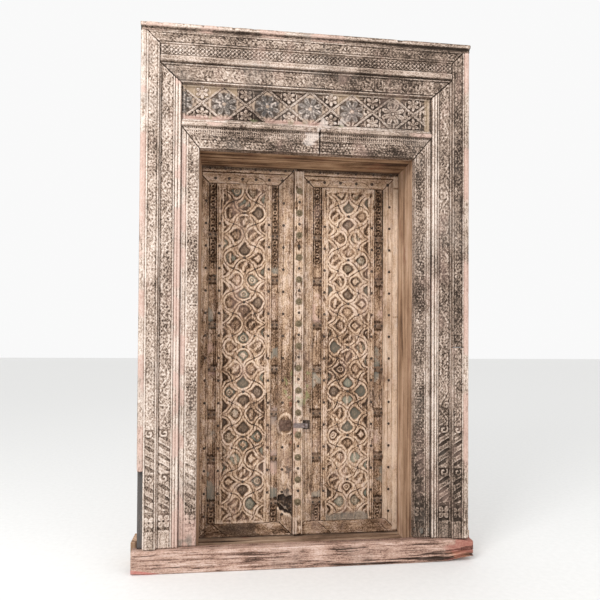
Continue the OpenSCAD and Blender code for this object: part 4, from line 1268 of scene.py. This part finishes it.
for side, seed in (("left", 401), ("right", 405)):
    mid, inner, xs = face_layout(side)
    leaf_piece(side + "_sunk_strips", side, side + "_groove_strips", LEAF_V,
        [part("up", p, [(0, q - p, 2.6)], lambda u: RAIL_Z0 + 0.2, lambda u: RAIL_Z1 - 0.2, 3.2,
        groove_field(p, q, seed + 9 * i), FACE_BACK) for i, (p, q) in enumerate(xs)])

    def strip_field(U, V, X, Z, tint, seed=seed):
        w = inner - LAT_H
        y = 0.3 + 1.8 * bead(U - w * 0.28, 1.6) + 1.5 * bead(U - w * 0.72, 1.4)
        h = 0.85 - 0.35 * bead(U - w * 0.28, 1.6) - 0.3 * bead(U - w * 0.72, 1.4)
        chip = blots(0.64, 0.8, X * 2, Z * 0.6, seed + 22, 36) * 3
        return (FACE_Y - 2 + y + chip + rough(X, Z, seed + 21) * 0.4, h - 0.15 * chip,
            0.1 + 0.35 * blots(0.45, 0.7, X, Z, seed + 23, 170))
    leaf_piece(side + "_lattice_strips", side, side + "_border_strips", LEAF_V,
        [part("up", p, [(0, inner - LAT_H, 1.7)], lambda u: RAIL_Z0 + 0.2, lambda u: RAIL_Z1 - 0.2, 5,
        strip_field, FACE_BACK) for p in (mid - inner, mid + LAT_H)])


def lathe(cx, cz, y0, profile, segments, **how):
    """A turned shape standing out of the plane y0: profile gives radius and height."""
    verts, faces = [], []
    for r, out in profile:
        for k in range(segments):
            a = 2 * math.pi * k / segments
            verts.append((cx + r * math.cos(a), y0 - out, cz + r * math.sin(a)))
    rows = len(profile)
    for j in range(rows - 1):
        for k in range(segments):
            n = (k + 1) % segments
            faces.append([j * segments + k, (j + 1) * segments + k, (j + 1) * segments + n, j * segments
                + n][::-1])
    faces.append([(rows - 1) * segments + k for k in range(segments)])
    faces.append(list(range(segments - 1, -1, -1)))
    return solid(verts, faces, **how)


def tie_part(x0, x1, z, seed):
    """A small carved block bridging a sunk strip: a waist between two rounded pads."""
    rnd = np.random.RandomState(seed)
    n, m = 14, 8
    xs = np.linspace(x0 + 0.4, x1 - 0.4, n + 1)
    verts, faces = [], []
    for i, x in enumerate(xs):
        t = i / n
        half = 14.0 + 3.0 * math.cos(2 * math.pi * t * 2) * 0.9 + rnd.rand() * 0.6
        out = 8.0 + 1.3 * math.cos(2 * math.pi * t * 2)
        for k in range(m + 1):
            a = math.pi * k / m
            verts.append((x, GROOVE_Y + 0.4 - out * math.sin(a) ** 0.7, z - half * math.cos(a)))
    for i in range(n):
        for k in range(m):
            a, b = i * (m + 1) + k, (i + 1) * (m + 1) + k
            faces.append([a, b, b + 1, a + 1])
    faces.append(list(range(m + 1)))
    faces.append([n * (m + 1) + k for k in range(m, -1, -1)])
    faces.append([i * (m + 1) for i in range(n + 1)][::-1] + [i * (m + 1) + m for i in range(n + 1)])
    return solid(verts, faces, h=0.75, grime=0.3, tint=(0.12, 0.075, 0.05, 0.8))


NAIL = [(4.5, 0.0), (4.2, 0.9), (3.2, 1.9), (1.6, 2.5)]


def nail_at(x, y, z, k=1.0):
    k = k * 1.55
    return lathe(x, y0=y, cz=z, profile=[(r * k, o * k) for r, o in NAIL], segments=7, h=0.6, grime=0.5)


for side in ("left", "right"):
    mid, inner, xs = face_layout(side)
    ties, nails = [], []
    for k in range(-3, 4):
        z = TIE_Z + k * TIE_P
        for p, q in xs:
            ties.append(tie_part(p, q, z, 500 + k + int(p)))
            nails.append(nail_at(p + 7, GROOVE_Y - 7.0, z, 0.9))
            nails.append(nail_at(q - 7, GROOVE_Y - 7.0, z, 0.9))
        crossing_z = z + TIE_P / 2
        nails.append(nail_at(mid, FACE_Y - 1.6, crossing_z, 1.0))
        for s in (-1, 1):
            nails.append(nail_at(mid + s * STRAP_X, FACE_Y - 1.4, crossing_z + TIE_P / 4 - 0.25, 0.72))
            nails.append(nail_at(mid + s * STRAP_X, FACE_Y - 1.4, crossing_z - TIE_P / 4 + 0.25, 0.72))
    cols = ([low("left_nails", "x") + 4.5, high("left_meeting_stile", "x") - 47] if side == "left"
        else [low("right_outer_stile", "x") + 30])
    for k in range(-7, 8):
        z = TIE_Z + (k + 0.5) * TIE_P / 2
        for x in cols:
            if abs(z - HASP_Z) > 36 or side == "right":
                nails.append(nail_at(x, FACE_Y - 0.2, z))
        if -6 <= k <= 6:
            for s in (-1, 1):
                nails.append(nail_at(mid + s * (LAT_H + inner) / 2, FACE_Y - 2.0, z))
    for i in range(6):
        x0, x1 = low(side + "_leaf_boards", "x") + 40, high(side + "_leaf_boards", "x") - 40
        nails.append(nail_at(x0 + (x1 - x0) * i / 5, FACE_Y + 0.2, OPEN_Z - 9, 1.0))
        nails.append(nail_at(x0 + (x1 - x0) * (i + 0.4) / 5.6, FACE_Y + 0.2, RAIL_Z1 + 22, 1.15))
    make(side + "_tie_blocks", ties, side + "_leaf", [side + "_ties"], LEAF_H)
    make(side + "_nail_heads", nails, side + "_leaf", [side + "_nails"], IRON)


def bar_parts():
    x0, x1 = span("astragal_bar")
    w = x1 - x0
    y0 = low("astragal_bar", "y")

    def field(U, V, X, Z, tint):
        r = 7.0
        side = np.minimum(U, w - U)
        y = y0 + 0.3 + r * (1 - bead(np.clip(r - side, 0, r), r)) * 0.95
        y = y + 1.6 * bead(np.abs(U - w / 2) - w * 0.30, 1.5)
        h = 0.9 - 0.4 * bead(np.abs(U - w / 2) - w * 0.30, 1.5)
        chip = blots(0.6, 0.78, X * 1.6, Z * 0.6, 601, 40) * 4
        leaf_paint(X, Z, tint, 602)
        paint(tint, 0.3 * blots(0.45, 0.6, X, Z, 604, 200, 2), PALE)
        return (y + chip + rough(X, Z, 603) * 0.6, h - 0.12 * chip, 0.12 + 0.4 * blots(0.45, 0.7, X, Z, 605,
            120))
    return [part("up", x0, [(0, 7, 1.2), (7, w - 7, 1.9), (w - 7, w, 1.2)],
        lambda u: low("astragal_bar", "z"), lambda u: high("astragal_bar", "z"), 5, field, FACE_Y)]


make("meeting_bar", bar_parts(), "right_leaf", ["astragal_bar"], LEAF_V)

bosses = []
bar_mid = (low("astragal_bosses", "x") + high("astragal_bosses", "x")) / 2
boss_r = (high("astragal_bosses", "x") - low("astragal_bosses", "x")) / 2
boss_top = high("astragal_bosses", "z") - boss_r
boss_low = low("astragal_bosses", "z") + boss_r
bar_y = high("astragal_bosses", "y")
count = int(round((boss_top - boss_low) / BOSS_PITCH))
rnd = np.random.RandomState(5)
for k in range(count + 1):
    z = boss_top - (boss_top - boss_low) * k / count
    r = boss_r * (0.93 + 0.07 * rnd.rand())
    prof = [(r, 0), (r, 2.2), (r - 1.2, 3.8), (r - 3.2, 4.4), (r - 4.6, 3.2), (r - 6.0, 3.6),
        (r - 7.4, 6.4), (r - 9.4, 9.2), (r - 11.6, 11.4), (r - 14.0, 12.6), (1.0, 12.9)]
    bosses.append(lathe(bar_mid, z, bar_y - 0.1, prof, 22, h=0.7, grime=0.3))
make("ringed_bosses", bosses, "right_leaf", ["astragal_bosses"], BOSS)
between = []
for k in range(count):
    z = boss_top - (boss_top - boss_low) * (k + 0.5) / count
    if abs(z - HASP_Z) > 24:
        between.append(nail_at(bar_mid + 1.5 * rnd.rand(), bar_y - 0.1, z, 1.05))
make("bar_nails", between, "right_leaf", [], IRON)


def edge_bar_field(U, V, X, Z, tint):
    w = high("right_edge_bar", "x") - low("right_edge_bar", "x")
    y = low("right_edge_bar", "y") + 0.3 + 2.2 * (1 - bead(U - w / 2, w / 2 + 1))
    gap = bead(fold(Z - low("right_edge_bar", "z") - 421, 660), 3)
    y = y + 2.5 * gap
    paint(tint, 0.35 * blots(0.5, 0.7, X, Z, 612, 90, 4), PALE)
    return y + rough(X, Z, 611) * 0.6, 0.9 - 0.5 * gap, 0.1 + 0.3 * blots(0.45, 0.7, X, Z, 613, 150)


make("right_edge_batten",
    [part("up", low("right_edge_bar", "x"),
    [(0, high("right_edge_bar", "x") - low("right_edge_bar", "x"), 2.0)],
    lambda u: low("right_edge_bar", "z"), lambda u: high("right_edge_bar", "z"), 6, edge_bar_field,
    FACE_Y)], "right_leaf", ["right_edge_bar"], BOARD_V)


# ---------------------------------------------------------------- carried-over nodes

MATERIAL_OF = { "left_post": REVEAL, "right_post": REVEAL, "head_beam": SOFFIT, "top_beam": ROUGH_H,
    "back_header": ROUGH_H, "threshold_board": THRESHOLD, "left_foot_block": REVEAL,
    "right_foot_block": REVEAL, "left_leaf_boards": ROUGH_V, "right_leaf_boards": ROUGH_V,
    "left_ledgers": ROUGH_H, "right_ledgers": ROUGH_H, "left_heel_post": REVEAL, "right_heel_post": REVEAL,
    "left_gudgeons": IRON, "right_gudgeons": IRON, "lock_plate": PLATE, "hasp_staple": IRON,
    "hasp": HASP_IRON, }
for name, mat in MATERIAL_OF.items():
    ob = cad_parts[name]
    if ob.material_slots:
        for s in ob.material_slots:
            s.link = "OBJECT"
            s.material = mat
    else:
        ob.data.materials.append(mat)

# ---------------------------------------------------------------- floor, light and camera

scene = bpy.context.scene
scene.view_settings.view_transform = "Standard"
world = bpy.data.worlds.new("studio")
scene.world = world
world.use_nodes = True
world.node_tree.nodes["Background"].inputs["Color"].default_value = (1.0, 1.0, 1.0, 1.0)
world.node_tree.nodes["Background"].inputs["Strength"].default_value = 0.95

g = Graph("pale_floor")
g.link(g.ramp(g.noise(40, 3), [(0.3, (0.80, 0.80, 0.79)), (0.7, (0.84, 0.84, 0.83))]),
    g.bsdf.inputs["Base Color"])
g.bsdf.inputs["Roughness"].default_value = 0.9
me = bpy.data.meshes.new("floor")
me.from_pydata([(-30, -30, 0), (30, -30, 0), (30, 30, 0), (-30, 30, 0)], [], [(0, 1, 2, 3)])
me.materials.append(g.mat)
floor = bpy.data.objects.new("floor", me)
scene.collection.objects.link(floor)


def lamp(name, place, target, size, power):
    data = bpy.data.lights.new(name, "AREA")
    data.shape, data.size, data.energy = "SQUARE", size, power
    ob = bpy.data.objects.new(name, data)
    ob.location = place
    ob.rotation_mode = "QUATERNION"
    ob.rotation_quaternion = (Vector(target) - Vector(place)).to_track_quat("-Z", "Y")
    scene.collection.objects.link(ob)


lamp("key", (-2.2, -2.9, 3.6), (0, 0.1, 1.1), 1.6, 115)
lamp("fill", (2.6, -3.4, 1.6), (0, 0.1, 1.1), 2.6, 30)

cam = bpy.data.cameras.new("camera")
cam.sensor_width = 36.0
cam.lens = 33.33
cam.shift_y = 0.0561
cam_ob = bpy.data.objects.new("camera", cam)
scene.collection.objects.link(cam_ob)
yaw, pitch, roll = 0.12368, 0.0138, 0.00622
fwd = Vector((math.sin(yaw) * math.cos(pitch), math.cos(yaw) * math.cos(pitch), math.sin(pitch)))
right = Vector((math.cos(yaw), -math.sin(yaw), 0))
up = right.cross(fwd)
r_axis = right * math.cos(roll) + up * math.sin(roll)
u_axis = up * math.cos(roll) - right * math.sin(roll)
turn = Matrix((r_axis, u_axis, -fwd)).transposed().to_4x4()
cam_ob.matrix_world = Matrix.Translation(Vector((-0.3496, -2.4620, 1.0059))) @ turn
scene.camera = cam_ob
